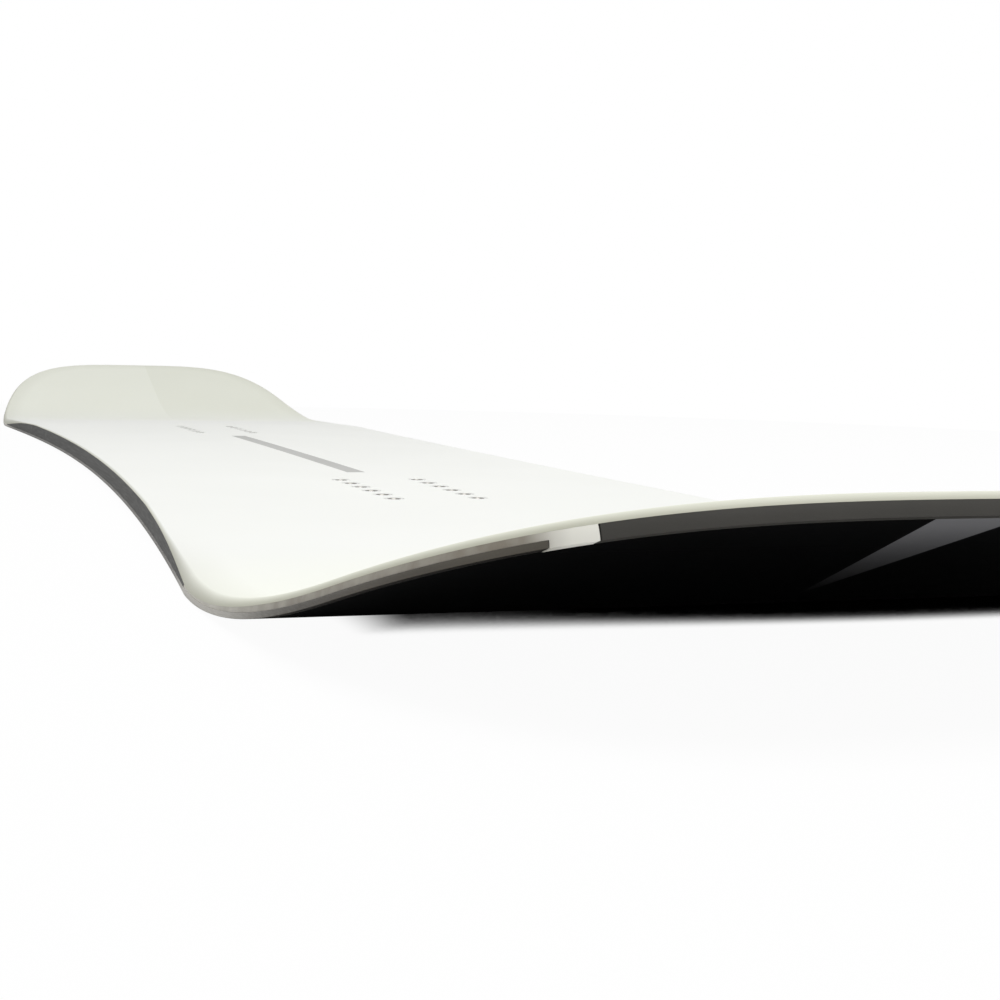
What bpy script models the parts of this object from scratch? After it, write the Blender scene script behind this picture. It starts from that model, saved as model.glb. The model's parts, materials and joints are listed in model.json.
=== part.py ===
"""Twin-tip snowboard, modelled the way the real one is made: laid up flat, then pressed in a mould.

+X runs to the nose, +Y to the left edge and +Z up. The origin is on the ground, midway between the tips.
Every layer starts flat, and there the Z of a point is its level in the full-thickness stack.
The press then folds all layers at the same stations along X, and thins the core towards the tips.
"""

import math

import bmesh
import bpy

# Outline, in metres.
CONTACT_LENGTH = 1.074
TIP_LENGTH = 0.2295
WAIST_WIDTH = 0.250
SIDECUT_DEPTH = 0.0212
TIP_SHAPE_LENGTH = 0.2435
TIP_SHOULDER_POWER = 1.4
TIP_BLUNTNESS = 3.8

# Side profile.
CAMBER_HEIGHT = 0.0015
TIP_BEND_RADIUS = 0.456
TIP_ANGLE = math.radians(16.5)

# Thickness of each layer in the middle of the board, and what the core thins to at the tips.
BASE_THICKNESS = 0.0012
TANG_THICKNESS = 0.0005
LOWER_LAMINATE_THICKNESS = 0.0007
CORE_THICKNESS = 0.0065
TIP_CORE_THICKNESS = 0.0017
UPPER_LAMINATE_THICKNESS = 0.0006
TOPSHEET_THICKNESS = 0.0006
GLUE_LINE = 0.0001

# Edge of the board, measured inwards from the outline.
STEEL_WIDTH = 0.0022
TANG_WIDTH = 0.0058
DAMPING_WIDTH = 0.016
SIDEWALL_FOOT_INSET = 0.0002
SIDEWALL_LEAN = 0.0004
SIDEWALL_LIP = 0.0028
SIDEWALL_WIDTH = 0.012
SIDEWALL_SHORT_OF_CONTACT = 0.020
TOPSHEET_EDGE_BEVEL = 0.0005
TIP_GUARD_WIDTH = 0.190
TIP_GUARD_DEPTH = 0.009
STEEL_SHORT_OF_GUARD = 0.008
END_GAP = 0.0003

# Threaded inserts, two rows of them under each binding.
STANCE_WIDTH = 0.5428
INSERTS_PER_ROW = 6
INSERT_PITCH = 0.020
INSERT_ROW_SPACING = 0.040
INSERT_BARREL_RADIUS = 0.0045
INSERT_BORE_RADIUS = 0.0025
INSERT_FLANGE_RADIUS = 0.0085
INSERT_FLANGE_THICKNESS = 0.0009
INSERT_FLOOR = 0.0005
INSERT_BELOW_TOP = 0.0001
INSERT_CLEARANCE = 0.0002
PAD_MARGIN = 0.004
INSERT_PLATE_THICKNESS = 0.0005
INSERT_LATH_MARGIN = 0.0015
OUTER_LATHS_PER_SIDE = 3

# Fineness of the faceted solids.
TIP_POINTS = 14
RUN_POINTS = 6
BEND_STEPS = 8
ROUND_STEPS = 12
OVERSHOOT = 0.005

HALF_LENGTH = CONTACT_LENGTH / 2 + TIP_LENGTH
CONTACT = CONTACT_LENGTH / 2
SHAPE_START = HALF_LENGTH - TIP_SHAPE_LENGTH
SIDEWALL_END = CONTACT - SIDEWALL_SHORT_OF_CONTACT
GUARD_HALF = TIP_GUARD_WIDTH / 2
FRONT_HALF = GUARD_HALF + STEEL_SHORT_OF_GUARD

# Levels in the flat stack, from the running surface up.
TANG_BOTTOM = BASE_THICKNESS + GLUE_LINE
TANG_TOP = TANG_BOTTOM + TANG_THICKNESS
LAMINATE_BOTTOM = TANG_TOP + GLUE_LINE
LAMINATE_TOP = LAMINATE_BOTTOM + LOWER_LAMINATE_THICKNESS
CORE_BOTTOM = LAMINATE_TOP + GLUE_LINE
CORE_TOP = CORE_BOTTOM + CORE_THICKNESS
UPPER_BOTTOM = CORE_TOP + GLUE_LINE
UPPER_TOP = UPPER_BOTTOM + UPPER_LAMINATE_THICKNESS
TOPSHEET_BOTTOM = UPPER_TOP + GLUE_LINE
STACK_TOP = TOPSHEET_BOTTOM + TOPSHEET_THICKNESS

# Insets of the pieces that lie side by side at the edge of the board.
BASE_INSET = STEEL_WIDTH + GLUE_LINE
TANG_INNER = STEEL_WIDTH + TANG_WIDTH
DAMPING_OUTER = TANG_INNER + GLUE_LINE
DAMPING_INNER = DAMPING_OUTER + DAMPING_WIDTH
LIP_INNER = SIDEWALL_FOOT_INSET + SIDEWALL_LIP
LAMINATE_INSET = LIP_INNER + GLUE_LINE
SIDEWALL_TOP_INSET = SIDEWALL_FOOT_INSET + SIDEWALL_LEAN
CORE_INSET = SIDEWALL_WIDTH + GLUE_LINE

# The flat pad under each binding: the board isn't folded between its two ends.
PACK_HALF = (INSERTS_PER_ROW - 1) * INSERT_PITCH / 2
PAD_HALF = PACK_HALF + INSERT_FLANGE_RADIUS + PAD_MARGIN
PAD_INNER = STANCE_WIDTH / 2 - PAD_HALF
PAD_OUTER = STANCE_WIDTH / 2 + PAD_HALF
TAPER_END = CONTACT + TIP_BEND_RADIUS * math.sin(TIP_ANGLE / 4)


def half_width(x):
    """Half the board's width at x: an even sidecut, rounded off to a blunt tip."""
    sidecut = WAIST_WIDTH / 2 + SIDECUT_DEPTH * (x / CONTACT) ** 2
    along_tip = max(0.0, (abs(x) - SHAPE_START) / TIP_SHAPE_LENGTH)
    return sidecut * max(0.0, 1 - along_tip**TIP_SHOULDER_POWER) ** (1 / TIP_BLUNTNESS)


def quarter_outline():
    """Outline from the middle of the nose to the waist on the left."""
    points = [(HALF_LENGTH, 0.0)]
    for step in range(TIP_POINTS - 1, -1, -1):
        turn = math.pi / 2 * step / TIP_POINTS
        x = SHAPE_START + TIP_SHAPE_LENGTH * math.sin(turn) ** (2 / TIP_SHOULDER_POWER)
        points.append((x, half_width(x)))
    for step in range(RUN_POINTS - 1, -1, -1):
        x = SHAPE_START * step / RUN_POINTS
        points.append((x, half_width(x)))
    return points


def board_outline():
    """Whole outline, counterclockwise from the middle of the nose."""
    quarter = quarter_outline()
    left = quarter + [(-x, y) for x, y in reversed(quarter[:-1])]
    return left + [(x, -y) for x, y in reversed(left[1:-1])]


def parallel(inset):
    """The outline moved inwards by inset, point for point."""
    ring = board_outline()
    moved = []
    for i, (x, y) in enumerate(ring):
        before = ring[i - 1]
        after = ring[(i + 1) % len(ring)]
        normals = []
        for start, end in ((before, (x, y)), ((x, y), after)):
            length = math.dist(start, end)
            normals.append(((end[1] - start[1]) / length, (start[0] - end[0]) / length))
        (ax, ay), (bx, by) = normals
        share = 1 + ax * bx + ay * by
        moved.append((x - inset * (ax + bx) / share, y - inset * (ay + by) / share))
    return moved


def clip(line, axis, low, high):
    """The part of an open line whose coordinate on this axis lies between low and high."""
    kept = []
    for start, end in zip(line, line[1:]):
        for limit in sorted((low, high), reverse=start[axis] > end[axis]):
            if (start[axis] - limit) * (end[axis] - limit) < 0:
                share = (limit - start[axis]) / (end[axis] - start[axis])
                kept.append(tuple(a + share * (b - a) for a, b in zip(start, end)))
        if low <= end[axis] <= high:
            kept.append(end)
    if low <= line[0][axis] <= high:
        kept.insert(0, line[0])
    return kept


def side_line(inset, side, reach):
    """One long side of the board from +reach to -reach; side is 1 on the left, -1 on the right."""
    ring = parallel(inset)
    half = len(ring) // 2
    line = ring[: half + 1]
    if side < 0:
        line = [(x, -y) for x, y in line]
    return clip(line, 0, -reach, reach)


def tip_line(inset, end, start):
    """The outline round one tip, outside x = start; end is 1 at the nose, -1 at the tail."""
    ring = parallel(inset)
    quarter = len(ring) // 4
    line = clip(ring[-quarter:] + ring[: quarter + 1], 0, start, HALF_LENGTH)
    return [(end * x, y) for x, y in line]


def front_line(inset, end, half):
    """The front of a tip, out to half on either side of the middle."""
    return clip(tip_line(inset, end, SHAPE_START), 1, -half, half)


def flank_line(inset, side, gap):
    """One side of the board from nose to tail, round both tips to this gap from their fronts."""
    ring = parallel(inset)
    line = clip(ring[: len(ring) // 2 + 1], 1, FRONT_HALF + gap, WAIST_WIDTH)
    return [(x, side * y) for x, y in line]


def side_band(outer, inner, side, reach):
    """Closed outline of a strip along one side, between two insets."""
    return side_line(outer, side, reach) + side_line(inner, side, reach)[::-1]


def flank_band(outer, inner, side, gap=END_GAP):
    """Closed outline of a strip that follows one side round to the fronts of both tips."""
    return flank_line(outer, side, gap) + flank_line(inner, side, gap)[::-1]


def stepped_ring(flank_inset, front_inset):
    """Closed outline with one inset along the flanks and another across the front of each tip."""
    nose = front_line(front_inset, 1, FRONT_HALF)
    left = flank_line(flank_inset, 1, END_GAP)
    tail = front_line(front_inset, -1, FRONT_HALF)[::-1]
    right = flank_line(flank_inset, -1, END_GAP)[::-1]
    return nose + left + tail + right


def rectangle(x_low, x_high, y_low, y_high):
    return [(x_low, y_low), (x_high, y_low), (x_high, y_high), (x_low, y_high)]


def core_share(x):
    """What is left of the core's thickness at x, as a share of its thickness in the middle."""
    tip_share = TIP_CORE_THICKNESS / CORE_THICKNESS
    along = (abs(x) - PAD_OUTER) / (TAPER_END - PAD_OUTER)
    return 1 + (tip_share - 1) * min(1.0, max(0.0, along))


def height_over_base(level, x):
    """Real height over the running surface of a level of the flat stack."""
    in_core = min(max(level, CORE_BOTTOM), CORE_TOP) - CORE_BOTTOM
    return level - in_core * (1 - core_share(x))


def base_height(x):
    """Height of the running surface over the ground."""
    past = abs(x) - CONTACT
    if past < 0:
        return CAMBER_HEIGHT * (1 - (x / CONTACT) ** 2) ** 2
    bend_length = TIP_BEND_RADIUS * math.sin(TIP_ANGLE)
    on_bend = min(past, bend_length)
    lift = TIP_BEND_RADIUS - math.sqrt(TIP_BEND_RADIUS**2 - on_bend**2)
    return lift + (past - on_bend) * math.tan(TIP_ANGLE)


def base_slope(x):
    """Angle of the running surface at x, positive where it rises towards +X."""
    past = abs(x) - CONTACT
    if past < 0:
        rise = -4 * CAMBER_HEIGHT * x / CONTACT**2 * (1 - (x / CONTACT) ** 2)
        return math.atan(rise)
    bent = math.asin(min(1.0, past / TIP_BEND_RADIUS))
    return math.copysign(min(bent, TIP_ANGLE), x)


def fold_stations():
    """Where the press folds the layers, from tail to nose. The pads lie between two of them."""
    half = [PAD_INNER / 2, PAD_INNER, PAD_OUTER, (PAD_OUTER + CONTACT) / 2]
    for step in range(BEND_STEPS + 1):
        half.append(CONTACT + TIP_BEND_RADIUS * math.sin(TIP_ANGLE * step / BEND_STEPS))
    half = [x for x in half if x < HALF_LENGTH - OVERSHOOT] + [HALF_LENGTH + OVERSHOOT]
    return [-x for x in reversed(half)] + [0.0] + half


STATIONS = fold_stations()


def pressed_at_station(station, level):
    """X and Z of a level at one station, square to the running surface there."""
    slope = base_slope(station)
    over = height_over_base(level, station)
    return station - over * math.sin(slope), base_height(station) + over * math.cos(slope)


def pressed(x, y, level):
    """Where the press moves a point of the flat stack. Between stations a layer stays flat."""
    index = 1
    while index < len(STATIONS) - 1 and x > STATIONS[index]:
        index += 1
    start, end = STATIONS[index - 1], STATIONS[index]
    share = (x - start) / (end - start)
    x_start, z_start = pressed_at_station(start, level)
    x_end, z_end = pressed_at_station(end, level)
    return x_start + share * (x_end - x_start), y, z_start + share * (z_end - z_start)


def clear_scene():
    for obj in list(bpy.data.objects):
        bpy.data.objects.remove(obj, do_unlink=True)


def new_collection(name):
    collection = bpy.data.collections.new(name)
    bpy.context.scene.collection.children.link(collection)
    return collection


def make_material(name, rgb, roughness, metallic=0.0):
    material = bpy.data.materials.new(name)
    material.use_nodes = True
    shader = material.node_tree.nodes["Principled BSDF"]
    shader.inputs["Base Color"].default_value = (*rgb, 1.0)
    shader.inputs["Roughness"].default_value = roughness
    shader.inputs["Metallic"].default_value = metallic
    material.diffuse_color = (*rgb, 1.0)
    return material


def mesh_object(name, mesh, collection):
    obj = bpy.data.objects.new(name, mesh)
    collection.objects.link(obj)
    return obj


def flat_plate(name, outline, bottom, top, collection):
    """A sheet of even thickness, from a filled flat curve."""
    curve = bpy.data.curves.new(name, "CURVE")
    curve.dimensions = "2D"
    curve.fill_mode = "BOTH"
    curve.extrude = (top - bottom) / 2
    spline = curve.splines.new("POLY")
    spline.points.add(len(outline) - 1)
    for point, (x, y) in zip(spline.points, outline):
        point.co = (x, y, 0.0, 1.0)
    spline.use_cyclic_u = True
    guide = bpy.data.objects.new(name + "_curve", curve)
    collection.objects.link(guide)
    guide.location.z = (top + bottom) / 2
    bpy.context.view_layer.update()
    evaluated = guide.evaluated_get(bpy.context.evaluated_depsgraph_get())
    mesh = bpy.data.meshes.new_from_object(evaluated)
    mesh.name = name
    mesh.transform(guide.matrix_world)
    bpy.data.objects.remove(guide, do_unlink=True)
    bm = bmesh.new()
    bm.from_mesh(mesh)
    bmesh.ops.remove_doubles(bm, verts=bm.verts[:], dist=1e-6)
    bmesh.ops.dissolve_limit(bm, angle_limit=1e-4, verts=bm.verts[:], edges=bm.edges[:])
    bmesh.ops.recalc_face_normals(bm, faces=bm.faces[:])
    bm.to_mesh(mesh)
    bm.free()
    return mesh_object(name, mesh, collection)


def loft_plate(name, lower, upper, bottom, top, collection):
    """A sheet whose upper outline isn't its lower one, so that its edge leans."""
    bm = bmesh.new()
    low = [bm.verts.new((x, y, bottom)) for x, y in lower]
    high = [bm.verts.new((x, y, top)) for x, y in upper]
    bm.faces.new(low)
    bm.faces.new(high)
    for i in range(len(low)):
        bm.faces.new((low[i - 1], low[i], high[i], high[i - 1]))
    bmesh.ops.recalc_face_normals(bm, faces=bm.faces[:])
    mesh = bpy.data.meshes.new(name)
    bm.to_mesh(mesh)
    bm.free()
    return mesh_object(name, mesh, collection)


def combine(obj, other, operation):
    modifier = obj.modifiers.new(other.name, "BOOLEAN")
    modifier.operation = operation
    modifier.object = other


def press(obj):
    """Fold a flat layer at every station and give it its place in the pressed board."""
    bpy.context.view_layer.update()
    evaluated = obj.evaluated_get(bpy.context.evaluated_depsgraph_get())
    mesh = bpy.data.meshes.new_from_object(evaluated)
    bm = bmesh.new()
    bm.from_mesh(mesh)
    for station in STATIONS:
        geometry = bm.verts[:] + bm.edges[:] + bm.faces[:]
        bmesh.ops.bisect_plane(
            bm, geom=geometry, dist=1e-7, plane_co=(station, 0, 0), plane_no=(1, 0, 0)
        )
    for vert in bm.verts:
        vert.co = pressed(*vert.co)
    bm.to_mesh(mesh)
    bm.free()
    old = obj.data
    obj.modifiers.clear()
    obj.data = mesh
    bpy.data.meshes.remove(old)
    mesh.name = obj.name
    mesh.shade_smooth()
    mesh.set_sharp_from_angle(angle=math.radians(30))


def as_cutter(obj):
    obj.hide_render = True
    obj.display_type = "WIRE"
    return obj


def insert_places():
    """Name and flat X and Y of every insert."""
    places = []
    for pack, end in (("front", 1), ("rear", -1)):
        for row, side in (("left", 1), ("right", -1)):
            for number in range(INSERTS_PER_ROW):
                x = end * (STANCE_WIDTH / 2 - PACK_HALF + number * INSERT_PITCH)
                y = side * INSERT_ROW_SPACING / 2
                places.append((f"{pack}_insert_{row}_{number + 1}", x, y))
    return places


def pins(name, radius, bottom, top, collection):
    """One cutter made of an upright pin at every insert."""
    bm = bmesh.new()
    for _, x, y in insert_places():
        made = bmesh.ops.create_cone(
            bm,
            cap_ends=True,
            segments=ROUND_STEPS,
            radius1=radius,
            radius2=radius,
            depth=top - bottom,
        )
        bmesh.ops.translate(bm, verts=made["verts"], vec=(x, y, (top + bottom) / 2))
    mesh = bpy.data.meshes.new(name)
    bm.to_mesh(mesh)
    bm.free()
    return as_cutter(mesh_object(name, mesh, collection))


def insert_mesh():
    """Threaded insert: a blind bushing on a wide foot, turned about its own axis."""
    height = STACK_TOP - INSERT_BELOW_TOP - CORE_BOTTOM
    profile = [
        (0.0, INSERT_FLOOR),
        (INSERT_BORE_RADIUS, INSERT_FLOOR),
        (INSERT_BORE_RADIUS, height),
        (INSERT_BARREL_RADIUS, height),
        (INSERT_BARREL_RADIUS, INSERT_FLANGE_THICKNESS),
        (INSERT_FLANGE_RADIUS, INSERT_FLANGE_THICKNESS),
        (INSERT_FLANGE_RADIUS, 0.0),
        (0.0, 0.0),
    ]
    mesh = bpy.data.meshes.new("insert_profile")
    edges = [(i, i + 1) for i in range(len(profile) - 1)]
    mesh.from_pydata([(radius, 0.0, z) for radius, z in profile], edges, [])
    turned = bpy.data.objects.new("insert_profile", mesh)
    bpy.context.scene.collection.objects.link(turned)
    screw = turned.modifiers.new("turn", "SCREW")
    screw.axis = "Z"
    screw.steps = ROUND_STEPS
    screw.render_steps = ROUND_STEPS
    screw.use_merge_vertices = True
    screw.merge_threshold = 0.00001
    bpy.context.view_layer.update()
    evaluated = turned.evaluated_get(bpy.context.evaluated_depsgraph_get())
    result = bpy.data.meshes.new_from_object(evaluated)
    bpy.data.objects.remove(turned, do_unlink=True)
    result.name = "threaded_insert"
    result.shade_smooth()
    result.set_sharp_from_angle(angle=math.radians(35))
    return result


def make_cutters(collection):
    """Shapes that the flat pieces are trimmed with before the press."""
    above = STACK_TOP + OVERSHOOT
    below = -OVERSHOOT
    lip = parallel(LIP_INNER)
    upper = flat_plate("upper_laminate_rebate", lip, CORE_TOP, above, collection)
    lower = flat_plate("lower_laminate_rebate", lip, below, CORE_BOTTOM, collection)
    steps = []
    for side_name, side in (("left", 1), ("right", -1)):
        outline = flank_band(-OVERSHOOT, DAMPING_INNER + GLUE_LINE, side, gap=0.0)
        name = f"{side_name}_steel_step"
        steps.append(flat_plate(name, outline, below, LAMINATE_BOTTOM, collection))
    for cutter in (upper, lower, *steps):
        as_cutter(cutter)
    barrel = INSERT_BARREL_RADIUS + INSERT_CLEARANCE
    foot = INSERT_FLANGE_RADIUS + INSERT_CLEARANCE
    foot_top = CORE_BOTTOM + INSERT_FLANGE_THICKNESS + INSERT_CLEARANCE
    return {
        "upper_rebate": upper,
        "lower_rebate": lower,
        "steel_steps": steps,
        "barrel_holes": pins("barrel_holes", barrel, CORE_BOTTOM, above, collection),
        "foot_pockets": pins("foot_pockets", foot, below, foot_top, collection),
    }


def lath_joints():
    """Y of the joints between the core's laths, on one side, from the middle out.

    Each insert row stands in the middle of one lath, and the rest of the core is shared out evenly."""
    row = INSERT_ROW_SPACING / 2
    foot = INSERT_FLANGE_RADIUS + INSERT_LATH_MARGIN
    inner = row - foot
    outer = row + foot
    edge = WAIST_WIDTH / 2 - CORE_INSET
    step = (edge - outer) / OUTER_LATHS_PER_SIDE
    return [inner, outer] + [outer + step * i for i in range(1, OUTER_LATHS_PER_SIDE)]


def make_base(collection):
    """Running surface: it lies between the steel edges, and behind the plastic rim in front of each tip."""
    outline = stepped_ring(BASE_INSET, LAMINATE_INSET)
    return flat_plate("base", outline, 0.0, BASE_THICKNESS, collection)


def make_steel_edge(side_name, side, collection, cutters):
    """Hardened bead that bites the snow, and the thin tang that the laminate holds down."""
    bead = flank_band(0.0, STEEL_WIDTH, side)
    tang = flank_band(STEEL_WIDTH / 2, TANG_INNER, side)
    edge = flat_plate(f"steel_edge_{side_name}", bead, 0.0, TANG_TOP, collection)
    helper = flat_plate(f"tang_{side_name}", tang, TANG_BOTTOM, TANG_TOP, cutters)
    combine(edge, as_cutter(helper), "UNION")
    return edge


def make_damping_strip(side_name, side, collection):
    """Rubber strip beside the tang, which keeps steel and laminate from shearing apart."""
    outline = flank_band(DAMPING_OUTER, DAMPING_INNER, side)
    name = f"edge_damping_{side_name}"
    return flat_plate(name, outline, TANG_BOTTOM, TANG_TOP, collection)


def make_lower_laminate(collection, trims):
    """Glass laminate that lies on the base in the middle and steps up over tang and rubber."""
    outline = parallel(LAMINATE_INSET)
    sheet = flat_plate("lower_laminate", outline, TANG_BOTTOM, LAMINATE_TOP, collection)
    for step in trims["steel_steps"]:
        combine(sheet, step, "DIFFERENCE")
    return sheet


def make_laths(collection, cutters, trims):
    """Wood core, glued up from nine laths; the insert rows stand in the two beside the middle."""
    reach = SIDEWALL_END - END_GAP
    half_gap = GLUE_LINE / 2
    joints = lath_joints()
    pocket_y = joints[1] + half_gap
    pocket_bottom = CORE_TOP - INSERT_PLATE_THICKNESS - GLUE_LINE
    pockets = []
    for name, end in (("front_plate_pocket", 1), ("rear_plate_pocket", -1)):
        ends = sorted((end * PAD_INNER, end * PAD_OUTER))
        outline = rectangle(*ends, -pocket_y, pocket_y)
        top = CORE_TOP + OVERSHOOT
        pockets.append(as_cutter(flat_plate(name, outline, pocket_bottom, top, cutters)))
    middle = rectangle(-reach, reach, -joints[0] + half_gap, joints[0] - half_gap)
    outlines = {"core_lath_middle": middle}
    for side_name, side in (("left", 1), ("right", -1)):
        for number, inner in enumerate(joints, 1):
            near = side * (inner + half_gap)
            if number < len(joints):
                far = side * (joints[number] - half_gap)
                outline = rectangle(-reach, reach, near, far)
            else:
                outline = side_line(CORE_INSET, side, reach) + [(-reach, near), (reach, near)]
            outlines[f"core_lath_{side_name}_{number}"] = outline
    laths = []
    for name, outline in outlines.items():
        lath = flat_plate(name, outline, CORE_BOTTOM, CORE_TOP, collection)
        if name in ("core_lath_middle", "core_lath_left_1", "core_lath_right_1"):
            for pocket in pockets:
                combine(lath, pocket, "DIFFERENCE")
        if name in ("core_lath_left_1", "core_lath_right_1"):
            combine(lath, trims["barrel_holes"], "DIFFERENCE")
            combine(lath, trims["foot_pockets"], "DIFFERENCE")
        laths.append(lath)
    return laths


def make_insert_plate(name, end, collection, trims):
    """Thin plate let into the core over the inserts, which spreads the pull of the screws."""
    ends = sorted((end * (PAD_INNER + END_GAP), end * (PAD_OUTER - END_GAP)))
    half = lath_joints()[1] - GLUE_LINE
    outline = rectangle(*ends, -half, half)
    plate = flat_plate(name, outline, CORE_TOP - INSERT_PLATE_THICKNESS, CORE_TOP, collection)
    combine(plate, trims["barrel_holes"], "DIFFERENCE")
    return plate


def make_sidewall(side_name, side, collection, trims):
    """Plastic sidewall with a leaning face, rebated for the two laminates."""
    reach = SIDEWALL_END - END_GAP
    lower = side_band(SIDEWALL_FOOT_INSET, SIDEWALL_WIDTH, side, reach)
    upper = side_band(SIDEWALL_TOP_INSET, SIDEWALL_WIDTH, side, reach)
    name = f"sidewall_{side_name}"
    wall = loft_plate(name, lower, upper, LAMINATE_BOTTOM, UPPER_TOP, collection)
    combine(wall, trims["upper_rebate"], "DIFFERENCE")
    combine(wall, trims["lower_rebate"], "DIFFERENCE")
    return wall


def make_tip_guard(name, end, collection, trims):
    """Dark guard let into the blunt front of a tip, as high as the whole edge there."""
    back = front_line(TIP_GUARD_DEPTH, end, GUARD_HALF)[::-1]
    lower = front_line(SIDEWALL_FOOT_INSET, end, GUARD_HALF) + back
    upper = front_line(SIDEWALL_TOP_INSET, end, GUARD_HALF) + back
    guard = loft_plate(name, lower, upper, 0.0, UPPER_TOP, collection)
    combine(guard, trims["upper_rebate"], "DIFFERENCE")
    combine(guard, trims["lower_rebate"], "DIFFERENCE")
    return guard


def make_tip_spacer(name, end, collection, cutters, trims):
    """Pale plastic that takes over from core and sidewalls in a tip, with its own raised rim.

    Between the guard and the steel edges the rim reaches down to the running surface."""
    lower = tip_line(SIDEWALL_FOOT_INSET, end, SIDEWALL_END)
    upper = tip_line(SIDEWALL_TOP_INSET, end, SIDEWALL_END)
    spacer = loft_plate(name, lower, upper, 0.0, UPPER_TOP, collection)
    half = GUARD_HALF + END_GAP
    front = front_line(-OVERSHOOT, end, half)
    back = front_line(TIP_GUARD_DEPTH + END_GAP, end, half)
    top = UPPER_TOP + OVERSHOOT
    notch = flat_plate(f"{name}_notch", front + back[::-1], -OVERSHOOT, top, cutters)
    combine(spacer, as_cutter(notch), "DIFFERENCE")
    combine(spacer, trims["upper_rebate"], "DIFFERENCE")
    combine(spacer, trims["lower_rebate"], "DIFFERENCE")
    for step in trims["steel_steps"]:
        combine(spacer, step, "DIFFERENCE")
    return spacer


def make_upper_laminate(collection, trims):
    outline = parallel(LAMINATE_INSET)
    sheet = flat_plate("upper_laminate", outline, UPPER_BOTTOM, UPPER_TOP, collection)
    combine(sheet, trims["barrel_holes"], "DIFFERENCE")
    return sheet


def make_topsheet(collection, trims):
    """White plastic skin, bevelled all round, with a hole over every insert."""
    lower = parallel(SIDEWALL_TOP_INSET)
    upper = parallel(SIDEWALL_TOP_INSET + TOPSHEET_EDGE_BEVEL)
    sheet = loft_plate("topsheet", lower, upper, TOPSHEET_BOTTOM, STACK_TOP, collection)
    combine(sheet, trims["barrel_holes"], "DIFFERENCE")
    return sheet


def make_inserts(collection):
    """Every insert is its own object on one shared mesh, square to the pad that it stands in."""
    mesh = insert_mesh()
    inserts = []
    for name, x, y in insert_places():
        insert = mesh_object(name, mesh, collection)
        foot = pressed(x, y, CORE_BOTTOM)
        head = pressed(x, y, STACK_TOP)
        insert.location = foot
        insert.rotation_euler.y = math.atan2(head[0] - foot[0], head[2] - foot[2])
        inserts.append(insert)
    return inserts


def build():
    clear_scene()
    board = new_collection("snowboard")
    cutters = new_collection("lay_up_cutters")
    trims = make_cutters(cutters)
    sides = (("left", 1), ("right", -1))
    layers = {
        "running_base": [make_base(board)],
        "edge_steel": [make_steel_edge(*side, board, cutters) for side in sides],
        "damping_rubber": [make_damping_strip(*side, board) for side in sides],
        "glass_laminate": [make_lower_laminate(board, trims), make_upper_laminate(board, trims)],
        "core_wood": make_laths(board, cutters, trims),
        "insert_plate": [
            make_insert_plate("front_insert_plate", 1, board, trims),
            make_insert_plate("rear_insert_plate", -1, board, trims),
        ],
        "sidewall_plastic": [make_sidewall(*side, board, trims) for side in sides],
        "spacer_plastic": [
            make_tip_spacer("nose_tip_spacer", 1, board, cutters, trims),
            make_tip_spacer("tail_tip_spacer", -1, board, cutters, trims),
        ],
        "guard_plastic": [
            make_tip_guard("nose_tip_guard", 1, board, trims),
            make_tip_guard("tail_tip_guard", -1, board, trims),
        ],
        "topsheet_plastic": [make_topsheet(board, trims)],
    }
    looks = {
        "running_base": ((0.004, 0.004, 0.004), 0.35),
        "edge_steel": ((0.55, 0.55, 0.56), 0.30, 1.0),
        "damping_rubber": ((0.02, 0.02, 0.02), 0.80),
        "glass_laminate": ((0.62, 0.66, 0.55), 0.40),
        "core_wood": ((0.62, 0.45, 0.27), 0.70),
        "insert_plate": ((0.35, 0.25, 0.12), 0.55),
        "sidewall_plastic": ((0.115, 0.115, 0.107), 0.45),
        "spacer_plastic": ((0.69, 0.68, 0.60), 0.45),
        "guard_plastic": ((0.105, 0.103, 0.098), 0.50),
        "topsheet_plastic": ((0.90, 0.90, 0.87), 0.25),
    }
    for slot, pieces in layers.items():
        material = make_material(slot, *looks[slot])
        for piece in pieces:
            press(piece)
            piece.data.materials.clear()
            piece.data.materials.append(material)
    inserts = make_inserts(board)
    inserts[0].data.materials.append(make_material("insert_steel", (0.50, 0.50, 0.51), 0.35, 1.0))


build()
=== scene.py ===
import json
import math

import bmesh
import bpy
from mathutils import Matrix, Vector


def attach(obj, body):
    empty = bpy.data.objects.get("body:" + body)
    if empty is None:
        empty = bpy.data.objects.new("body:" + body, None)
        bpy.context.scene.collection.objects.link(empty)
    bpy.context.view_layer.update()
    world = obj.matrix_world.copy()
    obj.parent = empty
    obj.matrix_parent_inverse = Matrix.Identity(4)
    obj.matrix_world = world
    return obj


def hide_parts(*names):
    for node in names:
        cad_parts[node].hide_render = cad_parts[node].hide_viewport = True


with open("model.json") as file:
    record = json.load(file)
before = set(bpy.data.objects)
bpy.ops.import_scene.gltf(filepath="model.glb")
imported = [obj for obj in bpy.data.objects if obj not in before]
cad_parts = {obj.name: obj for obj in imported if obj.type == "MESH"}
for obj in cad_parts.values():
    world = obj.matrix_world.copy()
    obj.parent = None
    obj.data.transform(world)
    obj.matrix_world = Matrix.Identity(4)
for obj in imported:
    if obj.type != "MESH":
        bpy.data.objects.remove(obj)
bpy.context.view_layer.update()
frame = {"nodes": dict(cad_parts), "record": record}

# Twin-tip snowboard. Every piece is laid up flat, as the real one is, and a node tree then presses it
# to the curve of the mould. In the flat stack the Z of a point is its level over the running surface.
# Lengths are in metres.

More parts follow.
